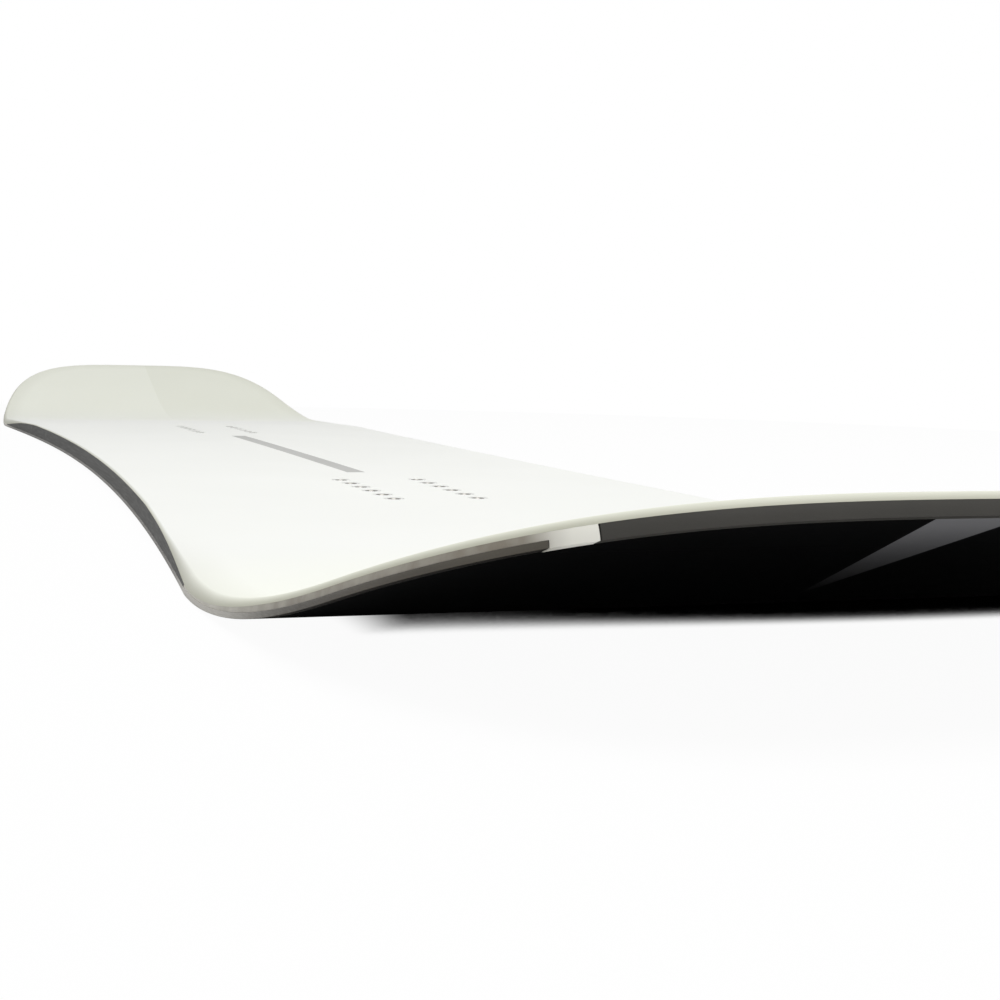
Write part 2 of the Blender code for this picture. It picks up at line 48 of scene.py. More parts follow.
# Outline and side profile, as in the frame.
CONTACT_LENGTH = 1.074
TIP_LENGTH = 0.2295
WAIST_WIDTH = 0.250
SIDECUT_DEPTH = 0.0212
TIP_SHAPE_LENGTH = 0.2435
TIP_SHOULDER_POWER = 1.4
TIP_BLUNTNESS = 3.8
CAMBER_HEIGHT = 0.0015
TIP_BEND_RADIUS = 0.456
TIP_ANGLE = math.radians(16.5)

# Lay-up, as in the frame.
BASE_THICKNESS = 0.0012
TANG_THICKNESS = 0.0005
LOWER_LAMINATE_THICKNESS = 0.0007
CORE_THICKNESS = 0.0065
TIP_CORE_THICKNESS = 0.0017
UPPER_LAMINATE_THICKNESS = 0.0006
TOPSHEET_THICKNESS = 0.0006
GLUE_LINE = 0.0001
STEEL_WIDTH = 0.0022
TANG_WIDTH = 0.0058
SIDEWALL_FOOT_INSET = 0.0002
SIDEWALL_LEAN = 0.0004
SIDEWALL_LIP = 0.0028
SIDEWALL_WIDTH = 0.012
SIDEWALL_SHORT_OF_CONTACT = 0.020
TIP_GUARD_WIDTH = 0.190
TIP_GUARD_DEPTH = 0.009
STEEL_SHORT_OF_GUARD = 0.008
END_GAP = 0.0003

# Threaded inserts, as in the frame.
STANCE_WIDTH = 0.5428
INSERTS_PER_ROW = 6
INSERT_PITCH = 0.020
INSERT_ROW_SPACING = 0.040
INSERT_BARREL_RADIUS = 0.0045
INSERT_BORE_RADIUS = 0.0025
INSERT_FLANGE_RADIUS = 0.0085
INSERT_FLANGE_THICKNESS = 0.0009
INSERT_FLOOR = 0.0005
INSERT_BELOW_TOP = 0.0001
INSERT_CLEARANCE = 0.0002
PAD_MARGIN = 0.004

# What the finer meshes add: rolled and eased edges, and a thread. Along the run the topsheet's rim rolls
# over by its own thickness. Toward the end of the sidewall it is pulled down to just over the steel, and
# from there it rises to its height round a tip.
RUN_ROLL_WIDTH = 0.0013
RUN_ROLL_START = math.radians(45)
TIP_ROLL_WIDTH = 0.0029
TIP_ROLL_DEPTH = 0.0022
TIP_ROLL_START = math.radians(12)
ROLL_GROWS_FROM = 0.38
ROLL_GROWTH_POWER = 2.2
LOWEST_RIM_FOOT = 0.0023
ROLL_RISES_FROM = 0.53
ROLL_RISEN_AT = 0.63
RIM_BAND = 0.014
# Share of the rim's tint, partly painted shade, that stays on the band beside the roll round a tip.
RIM_BAND_TINT_AND_SHADE = 0.2
RIM_FOOT = 0.0005
SEAM = 0.00002
FACE_ROLL_POWER = 2.2
STEEL_EDGE_RADIUS = 0.0003
BASE_EDGE_RADIUS = 0.0002
THREAD_PITCH = 0.001
THREAD_DEPTH = 0.0004
MOUTH_CHAMFER = 0.0006
RIM_CHAMFER = 0.00025

# Painted shade on the spacer's rim beside the steel edges: its share at the sidewall's end, where the corner is lit
# more, and where it grows to the whole.
FIRST_PAINTED_SHADE = 0.55
PAINTED_SHADE_GROWS_FROM = 0.52
FULLY_PAINTED_SHADE_AT = 0.66

# Fineness of the meshes.
TIP_POINTS = 72
RUN_POINTS = 46
ROLL_STEPS = 7
FACE_STEPS = 6
HOLE_STEPS = 48
THREAD_STEPS = 28
ROWS_PER_THREAD = 6
TIP_STRIP = 0.004
SIDE_STRIPS = 15
MIDDLE_STRIPS = 17
WIDE_FACE = 0.0001
OVERSHOOT = 0.005
SMOOTH_ANGLE = math.radians(30)

HALF_LENGTH = CONTACT_LENGTH / 2 + TIP_LENGTH
CONTACT = CONTACT_LENGTH / 2
SHAPE_START = HALF_LENGTH - TIP_SHAPE_LENGTH
SIDEWALL_END = CONTACT - SIDEWALL_SHORT_OF_CONTACT
GUARD_HALF = TIP_GUARD_WIDTH / 2
FRONT_HALF = GUARD_HALF + STEEL_SHORT_OF_GUARD
PAD_HALF = (INSERTS_PER_ROW - 1) * INSERT_PITCH / 2 + INSERT_FLANGE_RADIUS + PAD_MARGIN
PAD_INNER = STANCE_WIDTH / 2 - PAD_HALF
PAD_OUTER = STANCE_WIDTH / 2 + PAD_HALF
TAPER_END = CONTACT + TIP_BEND_RADIUS * math.sin(TIP_ANGLE / 4)

TANG_BOTTOM = BASE_THICKNESS + GLUE_LINE
TANG_TOP = TANG_BOTTOM + TANG_THICKNESS
LAMINATE_BOTTOM = TANG_TOP + GLUE_LINE
CORE_BOTTOM = LAMINATE_BOTTOM + LOWER_LAMINATE_THICKNESS + GLUE_LINE
CORE_TOP = CORE_BOTTOM + CORE_THICKNESS
UPPER_TOP = CORE_TOP + GLUE_LINE + UPPER_LAMINATE_THICKNESS
TOPSHEET_BOTTOM = UPPER_TOP + GLUE_LINE
STACK_TOP = TOPSHEET_BOTTOM + TOPSHEET_THICKNESS
LIP_INNER = SIDEWALL_FOOT_INSET + SIDEWALL_LIP
SIDEWALL_TOP_INSET = SIDEWALL_FOOT_INSET + SIDEWALL_LEAN


# Node trees.


def add(tree, kind, inputs=(), **settings):
    """One node: settings are its own properties, inputs maps its sockets to values or other sockets."""
    node = tree.nodes.new(kind)
    for name, value in settings.items():
        setattr(node, name, value)
    for key, value in dict(inputs).items():
        if isinstance(value, bpy.types.NodeSocket):
            tree.links.new(value, node.inputs[key])
        else:
            node.inputs[key].default_value = value
    return node


def run_steps(tree, steps, values):
    """Math nodes from lines of (result, operation, operands); an operand is an earlier result or a number."""
    for result, operation, *operands in steps:
        sources = [values[word] if isinstance(word, str) else word for word in operands]
        node = add(tree, "ShaderNodeMath", enumerate(sources), operation=operation)
        values[result] = node.outputs[0]
    return values


def new_tree(name, inputs):
    """An empty geometry tree with a Geometry input, the named inputs after it, and a Geometry output."""
    tree = bpy.data.node_groups.new(name, "GeometryNodeTree")
    tree.interface.new_socket("Geometry", in_out="INPUT", socket_type="NodeSocketGeometry")
    for label, kind in inputs.items():
        tree.interface.new_socket(label, in_out="INPUT", socket_type="NodeSocket" + kind)
    tree.interface.new_socket("Geometry", in_out="OUTPUT", socket_type="NodeSocketGeometry")
    return tree, tree.nodes.new("NodeGroupInput").outputs


def end_tree(tree, geometry, material):
    real = add(tree, "GeometryNodeRealizeInstances", {"Geometry": geometry})
    coated = add(tree, "GeometryNodeSetMaterial", {"Geometry": real.outputs[0], "Material": material})
    add(tree, "NodeGroupOutput", {"Geometry": coated.outputs[0]})


def run_tree(obj, tree, values):
    """Gives obj the mesh that the tree makes of it, and takes the modifier off again."""
    modifier = obj.modifiers.new(tree.name, "NODES")
    modifier.node_group = tree
    for item in tree.interface.items_tree:
        if item.in_out == "INPUT" and item.name in values:
            modifier[item.identifier] = values[item.name]
    replace_by_result(obj)


def replace_by_result(obj):
    bpy.context.view_layer.update()
    graph = bpy.context.evaluated_depsgraph_get()
    evaluated = obj.evaluated_get(graph)
    mesh = bpy.data.meshes.new_from_object(evaluated, preserve_all_data_layers=True, depsgraph=graph)
    old = obj.data
    obj.modifiers.clear()
    obj.data = mesh
    bpy.data.meshes.remove(old)
    mesh.name = obj.name


# The mould. Past the contact points the running surface bends up by an arc and then runs straight, and
# between them it has a low camber. A layer lies square to it, and only the core gets thinner.
PRESS_STEPS = [
    ("far", "ABSOLUTE", "x"),
    ("side", "SIGN", "x"),
    ("run share", "DIVIDE", "far", "Contact"),
    ("on run", "MINIMUM", "run share", 1.0),
    ("on run squared", "MULTIPLY", "on run", "on run"),
    ("bow", "SUBTRACT", 1.0, "on run squared"),
    ("bow squared", "MULTIPLY", "bow", "bow"),
    ("camber rise", "MULTIPLY", "bow squared", "Camber"),
    ("steepness", "MULTIPLY", "on run", "bow"),
    ("camber pitch", "DIVIDE", "Camber", "Contact"),
    ("quarter fall", "MULTIPLY", "steepness", "camber pitch"),
    ("past", "SUBTRACT", "far", "Contact"),
    ("past contact", "MAXIMUM", "past", 0.0),
    ("tip sine", "SINE", "Tip Angle"),
    ("tip tangent", "TANGENT", "Tip Angle"),
    ("bend reach", "MULTIPLY", "Bend Radius", "tip sine"),
    ("on bend", "MINIMUM", "past contact", "bend reach"),
    ("on straight", "SUBTRACT", "past contact", "on bend"),
    ("radius squared", "MULTIPLY", "Bend Radius", "Bend Radius"),
    ("on bend squared", "MULTIPLY", "on bend", "on bend"),
    ("height squared", "SUBTRACT", "radius squared", "on bend squared"),
    ("height", "SQRT", "height squared"),
    ("bend rise", "SUBTRACT", "Bend Radius", "height"),
    ("tip rise", "MULTIPLY_ADD", "on straight", "tip tangent", "bend rise"),
    ("base z", "ADD", "tip rise", "camber rise"),
    ("bend slope", "DIVIDE", "on bend", "Bend Radius"),
    ("slope", "MULTIPLY_ADD", "quarter fall", -4.0, "bend slope"),
    ("lean", "MULTIPLY", "slope", "side"),
    ("lean squared", "MULTIPLY", "lean", "lean"),
    ("upright squared", "SUBTRACT", 1.0, "lean squared"),
    ("upright", "SQRT", "upright squared"),
    ("core top", "ADD", "Core Bottom", "Core Thickness"),
    ("over core bottom", "MAXIMUM", "level", "Core Bottom"),
    ("under core top", "MINIMUM", "over core bottom", "core top"),
    ("in core", "SUBTRACT", "under core top", "Core Bottom"),
    ("past taper start", "SUBTRACT", "far", "Taper Start"),
    ("taper length", "SUBTRACT", "Taper End", "Taper Start"),
    ("taper share", "DIVIDE", "past taper start", "taper length"),
    ("taper begun", "MAXIMUM", "taper share", 0.0),
    ("taper", "MINIMUM", "taper begun", 1.0),
    ("tip share", "DIVIDE", "Tip Core Thickness", "Core Thickness"),
    ("thinning", "SUBTRACT", 1.0, "tip share"),
    ("lost share", "MULTIPLY", "taper", "thinning"),
    ("lost", "MULTIPLY", "in core", "lost share"),
    ("over base", "SUBTRACT", "level", "lost"),
    ("drawn in", "MULTIPLY", "over base", "lean"),
    ("new x", "SUBTRACT", "x", "drawn in"),
    ("new z", "MULTIPLY_ADD", "over base", "upright", "base z"),
]

MOULD = {
    "Contact": CONTACT,
    "Bend Radius": TIP_BEND_RADIUS,
    "Tip Angle": TIP_ANGLE,
    "Camber": CAMBER_HEIGHT,
    "Core Bottom": CORE_BOTTOM,
    "Core Thickness": CORE_THICKNESS,
    "Tip Core Thickness": TIP_CORE_THICKNESS,
    "Taper Start": PAD_OUTER,
    "Taper End": TAPER_END,
}


def make_press_tree():
    """Moves every point of a flat piece to its place in the pressed board."""
    tree, inputs = new_tree("press_to_mould", {**dict.fromkeys(MOULD, "Float"), "Material": "Material"})
    place = add(tree, "GeometryNodeInputPosition")
    flat = add(tree, "ShaderNodeSeparateXYZ", {0: place.outputs[0]})
    values = {name: inputs[name] for name in MOULD}
    values["x"] = flat.outputs["X"]
    values["level"] = flat.outputs["Z"]
    run_steps(tree, PRESS_STEPS, values)
    pressed = {"X": values["new x"], "Y": flat.outputs["Y"], "Z": values["new z"]}
    new_place = add(tree, "ShaderNodeCombineXYZ", pressed)
    moved = {"Geometry": inputs["Geometry"], "Position": new_place.outputs[0]}
    end_tree(tree, add(tree, "GeometryNodeSetPosition", moved).outputs[0], inputs["Material"])
    return tree


def make_insert_tree():
    """Sets one turned insert at every crossing of a grid, square to the pad that the grid lies on."""
    kinds = {
        "Insert": "Object",
        "Per Row": "Int",
        "Pitch": "Float",
        "Row Spacing": "Float",
        "Pad Centre": "Vector",
        "Pad Tilt": "Vector",
        "Material": "Material",
    }
    tree, inputs = new_tree("insert_grid", kinds)
    steps = [("gaps", "SUBTRACT", "Per Row", 1.0), ("row length", "MULTIPLY", "gaps", "Pitch")]
    row = run_steps(tree, steps, {"Per Row": inputs["Per Row"], "Pitch": inputs["Pitch"]})
    lattice = {
        "Size X": row["row length"],
        "Size Y": inputs["Row Spacing"],
        "Vertices X": inputs["Per Row"],
        "Vertices Y": 2,
    }
    grid = add(tree, "GeometryNodeMeshGrid", lattice)
    turned = {"Instance": add(tree, "GeometryNodeObjectInfo", {"Object": inputs["Insert"]}).outputs["Geometry"]}
    copies = add(tree, "GeometryNodeInstanceOnPoints", {"Points": grid.outputs["Mesh"], **turned})
    tilt = add(tree, "FunctionNodeEulerToRotation", {0: inputs["Pad Tilt"]})
    seat = {
        "Geometry": copies.outputs[0],
        "Translation": inputs["Pad Centre"],
        "Rotation": tilt.outputs[0],
    }
    end_tree(tree, add(tree, "GeometryNodeTransform", seat).outputs[0], inputs["Material"])
    return tree


# Outline of the board.


def half_width(x):
    """Half the board's width at x: an even sidecut, rounded off to a blunt tip."""
    sidecut = WAIST_WIDTH / 2 + SIDECUT_DEPTH * (x / CONTACT) ** 2
    along_tip = max(0.0, (abs(x) - SHAPE_START) / TIP_SHAPE_LENGTH)
    return sidecut * max(0.0, 1 - along_tip**TIP_SHOULDER_POWER) ** (1 / TIP_BLUNTNESS)


def board_outline():
    """Counterclockwise from the middle of the nose, as pairs of a point and the way inwards there."""
    quarter = [Vector((HALF_LENGTH, 0.0))]
    for step in range(TIP_POINTS - 1, -1, -1):
        turn = math.pi / 2 * step / TIP_POINTS
        x = SHAPE_START + TIP_SHAPE_LENGTH * math.sin(turn) ** (2 / TIP_SHOULDER_POWER)
        quarter.append(Vector((x, half_width(x))))
    for step in range(RUN_POINTS - 1, -1, -1):
        x = SHAPE_START * step / RUN_POINTS
        quarter.append(Vector((x, half_width(x))))
    left = quarter + [Vector((-p.x, p.y)) for p in reversed(quarter[:-1])]
    ring = left + [Vector((p.x, -p.y)) for p in reversed(left[1:-1])]
    pairs = []
    for i, point in enumerate(ring):
        before = (point - ring[i - 1]).normalized()
        after = (ring[(i + 1) % len(ring)] - point).normalized()
        inwards = Vector((-before.y - after.y, before.x + after.x)) / (1 + before.dot(after))
        pairs.append((point, inwards))
    return pairs


OUTLINE = board_outline()


def whole_outline():
    return range(len(OUTLINE))


def along_side(side, reach):
    """Points of one long side, a little past reach at both ends."""
    near = [i for i, (p, _) in enumerate(OUTLINE) if side * p.y > 0 and abs(p.x) < reach + 4 * OVERSHOOT]
    return sorted(near, key=lambda i: -OUTLINE[i][0].x)


def along_flank(side):
    """Points of one side and round both tips, a little past the ends of the steel."""
    near = [i for i, (p, _) in enumerate(OUTLINE) if side * p.y > FRONT_HALF - 4 * OVERSHOOT]
    return sorted(near, key=lambda i: -OUTLINE[i][0].x)


def along_front(end, half):
    """Points of the blunt front of one tip, a little past half at both ends."""
    near = [i for i, (p, _) in enumerate(OUTLINE) if end * p.x > SHAPE_START and abs(p.y) < half + 4 * OVERSHOOT]
    return sorted(near, key=lambda i: OUTLINE[i][0].y)


# Meshes of the flat pieces.


def skin(section, path, closed_section):
    """Carries a section of (inset, level) along the outline, and closes the path if it is the whole of it.

    A section that changes on its way is a function of the outline's point."""
    bm = bmesh.new()
    rings = []
    for i in path:
        point, inwards = OUTLINE[i]
        here = section(point) if callable(section) else section
        spots = [(point + inset * inwards, level) for inset, level in here]
        rings.append([bm.verts.new((spot.x, spot.y, level)) for spot, level in spots])
    rows = list(zip(*rings))
    steps = len(path) if len(path) == len(OUTLINE) else len(path) - 1
    pairs = list(zip(rows, rows[1:])) + ([(rows[-1], rows[0])] if closed_section else [])
    for low, high in pairs:
        for i in range(steps):
            j = (i + 1) % len(path)
            bm.faces.new((low[i], low[j], high[j], high[i]))
    return bm, rows


def plate(section):
    """A closed plate over the whole outline: its section runs from the underside round the rim to the top."""
    bm, rows = skin(section, whole_outline(), False)
    bm.faces.new(rows[0])
    bm.faces.new(rows[-1])
    return bm


def trim(bm, axis, low, high):
    """Cuts the piece square at low and high along X (axis 0) or Y (axis 1); None leaves that end."""
    for limit, outwards in ((low, -1), (high, 1)):
        if limit is None:
            continue
        place = [0.0, 0.0, 0.0]
        facing = [0.0, 0.0, 0.0]
        place[axis] = limit
        facing[axis] = outwards
        geometry = bm.verts[:] + bm.edges[:] + bm.faces[:]
        bmesh.ops.bisect_plane(bm, geom=geometry, plane_co=place, plane_no=facing, clear_outer=True)
    rim = [edge for edge in bm.edges if edge.is_boundary]
    bmesh.ops.edgeloop_fill(bm, edges=rim)


def rail(section, path, axis, low, high):
    """A closed bar along part of the outline, cut square at its two ends."""
    bm, _ = skin(section, path, True)
    trim(bm, axis, low, high)
    return bm


def flank_rail(section, side, gap):
    """A closed bar along one side and round both tips, to this gap from their fronts."""
    limits = (FRONT_HALF + gap, None) if side > 0 else (None, -FRONT_HALF - gap)
    return rail(section, along_flank(side), 1, *limits)


def new_object(name, bm):
    bmesh.ops.recalc_face_normals(bm, faces=bm.faces[:])
    mesh = bpy.data.meshes.new(name)
    bm.to_mesh(mesh)
    bm.free()
    obj = bpy.data.objects.new(name, mesh)
    bpy.context.scene.collection.objects.link(obj)
    return obj


def cut(obj, *cutters):
    """Takes the cutters' shapes out of a flat piece, and the cutters out of the scene."""
    for cutter in cutters:
        modifier = obj.modifiers.new(cutter.name, "BOOLEAN")
        modifier.operation = "DIFFERENCE"
        modifier.object = cutter
    replace_by_result(obj)
    for cutter in cutters:
        bpy.data.objects.remove(cutter, do_unlink=True)


def strip_lines():
    """X of the lines that split wide faces, closer in the bent tips, with none on the binding pads."""
    ends = math.ceil((HALF_LENGTH - SIDEWALL_END) / TIP_STRIP)
    half = [SIDEWALL_END + TIP_STRIP * i for i in range(ends)]
    half += [PAD_OUTER + (SIDEWALL_END - PAD_OUTER) * i / SIDE_STRIPS for i in range(SIDE_STRIPS)]
    half += [PAD_INNER * i / MIDDLE_STRIPS for i in range(1, MIDDLE_STRIPS + 1)]
    return [0.0] + half + [-x for x in half]


def split_wide_faces(obj):
    """Wide flat faces get a line at every strip, so that they can bend."""
    bm = bmesh.new()
    bm.from_mesh(obj.data)
    for line in strip_lines():
        wide = []
        for face in bm.faces:
            xs = [vert.co.x for vert in face.verts]
            if min(xs) < line < max(xs) and face.calc_area() > WIDE_FACE:
                wide.append(face)
        edges = {edge for face in wide for edge in face.edges}
        verts = {vert for face in wide for vert in face.verts}
        geometry = [*verts, *edges, *wide]
        bmesh.ops.bisect_plane(bm, geom=geometry, dist=1e-7, plane_co=(line, 0, 0), plane_no=(1, 0, 0))
    bm.to_mesh(obj.data)
    bm.free()


def press(obj, tree, material):
    split_wide_faces(obj)
    run_tree(obj, tree, {**MOULD, "Material": material})
    obj.data.shade_smooth()
    obj.data.set_sharp_from_angle(angle=SMOOTH_ANGLE)
    return obj


def dress(obj, slot, *nodes):
    """obj stands for these nodes of the frame."""
    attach(obj, "root")
    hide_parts(*nodes)


# Sections, as (inset, level) from the outline inwards.


def core_share(x):
    """What is left of the core's thickness at x, as a share of its thickness in the middle."""
    along = (abs(x) - PAD_OUTER) / (TAPER_END - PAD_OUTER)
    return 1 + (TIP_CORE_THICKNESS / CORE_THICKNESS - 1) * min(1.0, max(0.0, along))


def thickness(x):
    return STACK_TOP - CORE_THICKNESS * (1 - core_share(x))


def flat_level(over_base, x):
    """The level in the flat stack that ends this high over the base once the core is pressed thin."""
    core = CORE_THICKNESS * core_share(x)
    if over_base <= CORE_BOTTOM:
        return over_base
    if over_base >= CORE_BOTTOM + core:
        return over_base + CORE_THICKNESS - core
    return CORE_BOTTOM + (over_base - CORE_BOTTOM) / core_share(x)


def ease(value, start, end):
    """0 before start and 1 past end, with a smooth step between them."""
    share = min(1.0, max(0.0, (value - start) / (end - start)))
    return share * share * (3 - 2 * share)


def mixed(first, second, share):
    return first + (second - first) * share


def roll_share(x):
    """0 along the run and 1 past the end of the sidewall, where the topsheet's rim has its full roll."""
    along = (abs(x) - ROLL_GROWS_FROM) / (SIDEWALL_END - ROLL_GROWS_FROM)
    return min(1.0, max(0.0, along)) ** ROLL_GROWTH_POWER


def rim_foot(x):
    """Height over the base at which the topsheet's rolled rim ends."""
    shallow = thickness(x) - TOPSHEET_THICKNESS - GLUE_LINE + SEAM
    round_tip = thickness(x) - TIP_ROLL_DEPTH
    deep = mixed(LOWEST_RIM_FOOT, round_tip, ease(abs(x), ROLL_RISES_FROM, ROLL_RISEN_AT))
    return mixed(shallow, deep, roll_share(x))


def topsheet_section(point):
    """The rolled rim from its inner foot to the flat top, and a band of that."""
    x = point.x
    foot = rim_foot(x)
    start = mixed(RUN_ROLL_START, TIP_ROLL_START, roll_share(x))
    width = mixed(RUN_ROLL_WIDTH, TIP_ROLL_WIDTH, roll_share(x))
    under = flat_level(foot, x)
    section = [(LIP_INNER, TOPSHEET_BOTTOM)]
    section += [(SIDEWALL_TOP_INSET + RIM_FOOT, under), (SIDEWALL_TOP_INSET, under)]
    for step in range(1, ROLL_STEPS + 1):
        turn = mixed(start, math.pi / 2, step / ROLL_STEPS)
        inset = SIDEWALL_TOP_INSET + width * (1 - math.cos(turn) / math.cos(start))
        rise = (math.sin(turn) - math.sin(start)) / (1 - math.sin(start))
        section.append((inset, flat_level(mixed(foot, thickness(x), rise), x)))
    section.append((inset + RIM_BAND, section[-1][1]))
    return section


def lipped_section(bottom, depth):
    """Bar with a lip up and a lip down, beside the two laminates, and this deep in from the outline.

    Its outer face is steep at the foot, rolls in a little and ends under the topsheet's rim."""

    def section(point):
        top = rim_foot(point.x) - SEAM
        face = []
        for step in range(FACE_STEPS + 1):
            share = step / FACE_STEPS
            inset = SIDEWALL_FOOT_INSET + SIDEWALL_LEAN * share**FACE_ROLL_POWER
            face.append((inset, flat_level(mixed(bottom, top, share), point.x)))
        shelf = [(SIDEWALL_TOP_INSET + RIM_FOOT, face[-1][1]), (LIP_INNER, UPPER_TOP)]
        back = [(LIP_INNER, CORE_TOP), (depth, CORE_TOP), (depth, CORE_BOTTOM)]
        return face + shelf + back + [(LIP_INNER, CORE_BOTTOM), (LIP_INNER, bottom)]

    return section


def box_section(outer, inner, bottom, top):
    return [(outer, bottom), (outer, top), (inner, top), (inner, bottom)]


# Pieces.


def make_topsheet():
    """Plastic skin with a rolled rim and a hole over every insert.

    "rim" is 1 at its edge and 0 on top; round a tip it only ends on the band beside the roll. Its tint is partly the
    cut edge's own cream and partly painted shade on the roll."""
    sheet = new_object("snowboard_topsheet", plate(topsheet_section))
    rim = sheet.data.attributes.new("rim", "FLOAT", "POINT")
    around = len(topsheet_section(OUTLINE[0][0]))
    for index, vert in enumerate(sheet.data.vertices):
        # Two points of the section come before its roll.
        step = index % around - 2
        left = RIM_BAND_TINT_AND_SHADE * roll_share(vert.co.x)
        rim.data[index].value = 0.0 if step > ROLL_STEPS else mixed(1.0, left, max(0, step) / ROLL_STEPS)
    cut(sheet, make_hole_pins())
    return sheet


def make_hole_pins():
    """One cutter made of an upright pin at every insert."""
    bm = bmesh.new()
    radius = INSERT_BARREL_RADIUS + INSERT_CLEARANCE
    middle = (INSERTS_PER_ROW - 1) / 2
    for end in (1, -1):
        for side in (1, -1):
            for number in range(INSERTS_PER_ROW):
                x = end * STANCE_WIDTH / 2 + (number - middle) * INSERT_PITCH
                made = bmesh.ops.create_cone(
                    bm,
                    cap_ends=True,
                    segments=HOLE_STEPS,
                    radius1=radius,
                    radius2=radius,
                    depth=2 * OVERSHOOT,
                )
                place = (x, side * INSERT_ROW_SPACING / 2, STACK_TOP)
                bmesh.ops.translate(bm, verts=made["verts"], vec=place)
    return new_object("hole_pins", bm)


def make_sidewall(name, side):
    reach = SIDEWALL_END - END_GAP
    section = lipped_section(TANG_TOP + SEAM, SIDEWALL_WIDTH)
    return new_object(name, rail(section, along_side(side, reach), 0, -reach, reach))


def make_steel_edge(name, side):
    """Rolled section: a bead with eased corners, and the thin tang under the laminate."""
    round_down = STEEL_EDGE_RADIUS * (1 - math.sqrt(0.5))
    section = [
        (STEEL_EDGE_RADIUS, 0.0),
        (round_down, round_down),
        (0.0, STEEL_EDGE_RADIUS),
        (0.0, TANG_TOP - STEEL_EDGE_RADIUS),
        (round_down, TANG_TOP - round_down),
        (STEEL_EDGE_RADIUS, TANG_TOP),
        (STEEL_WIDTH + TANG_WIDTH, TANG_TOP),
        (STEEL_WIDTH + TANG_WIDTH, TANG_BOTTOM),
        (STEEL_WIDTH, TANG_BOTTOM),
        (STEEL_WIDTH, 0.0),
    ]
    return new_object(name, flank_rail(section, side, END_GAP))


def make_tip_guard(name, end):
    section = lipped_section(0.0, TIP_GUARD_DEPTH)
    front = along_front(end, GUARD_HALF)
    return new_object(name, rail(section, front, 1, -GUARD_HALF, GUARD_HALF))


def make_tip_spacer(name, end):
    """Fills a tip between the laminates, with a raised rim, notched for the guard and the steel edges.

    Its rim carries a share of painted shade beside the steel edges: it grows from the end of the sidewall along
    them, and is 0 in front of them."""
    lips = lipped_section(0.0, LIP_INNER)

    def section(point):
        # Its outer face, the shelf over that, and the corner at the core's top.
        outer = lips(point)[: FACE_STEPS + 4]
        return [(LIP_INNER, CORE_BOTTOM), (LIP_INNER, 0.0)] + outer

    bm = plate(section)
    limits = (SIDEWALL_END, None) if end > 0 else (None, -SIDEWALL_END)
    trim(bm, 0, *limits)
    spacer = new_object(name, bm)
    half = GUARD_HALF + END_GAP
    notch = box_section(-OVERSHOOT, TIP_GUARD_DEPTH + END_GAP, -OVERSHOOT, STACK_TOP + OVERSHOOT)
    bar = rail(notch, along_front(end, half), 1, -half, half)
    cutters = [new_object("guard_notch", bar)]
    step = box_section(-OVERSHOOT, LIP_INNER + OVERSHOOT, -OVERSHOOT, TANG_TOP + SEAM)
    cutters += [new_object("steel_step", flank_rail(step, side, 0.0)) for side in (1, -1)]
    cut(spacer, *cutters)
    # Painted shade on the rim beside the steel edges, lighter at the sidewall's end.
    stained = spacer.data.attributes.new("stained", "FLOAT", "POINT")
    for vert in spacer.data.vertices:
        beside_steel = ease(abs(vert.co.y), FRONT_HALF - OVERSHOOT, FRONT_HALF + OVERSHOOT)
        along = ease(abs(vert.co.x), PAINTED_SHADE_GROWS_FROM, FULLY_PAINTED_SHADE_AT)
        stained.data[vert.index].value = beside_steel * mixed(FIRST_PAINTED_SHADE, 1.0, along)
    return spacer


def make_base():
    """Running surface: it lies between the steel edges, and behind the plastic rim in front of each tip."""
    inset = STEEL_WIDTH + GLUE_LINE
    base = new_object("snowboard_base", plate([(inset, 0.0), (inset, BASE_THICKNESS)]))
    channel = box_section(-OVERSHOOT, LIP_INNER + GLUE_LINE, -OVERSHOOT, OVERSHOOT)
    fronts = [(along_front(end, FRONT_HALF), 1, -FRONT_HALF, FRONT_HALF) for end in (1, -1)]
    cut(base, *(new_object("rim_channel", rail(channel, *front)) for front in fronts))
    bevel = base.modifiers.new("eased_edge", "BEVEL")
    bevel.width = BASE_EDGE_RADIUS
    bevel.segments = 2
    bevel.limit_method = "ANGLE"
    bevel.angle_limit = math.radians(60)
    replace_by_result(base)
    return base


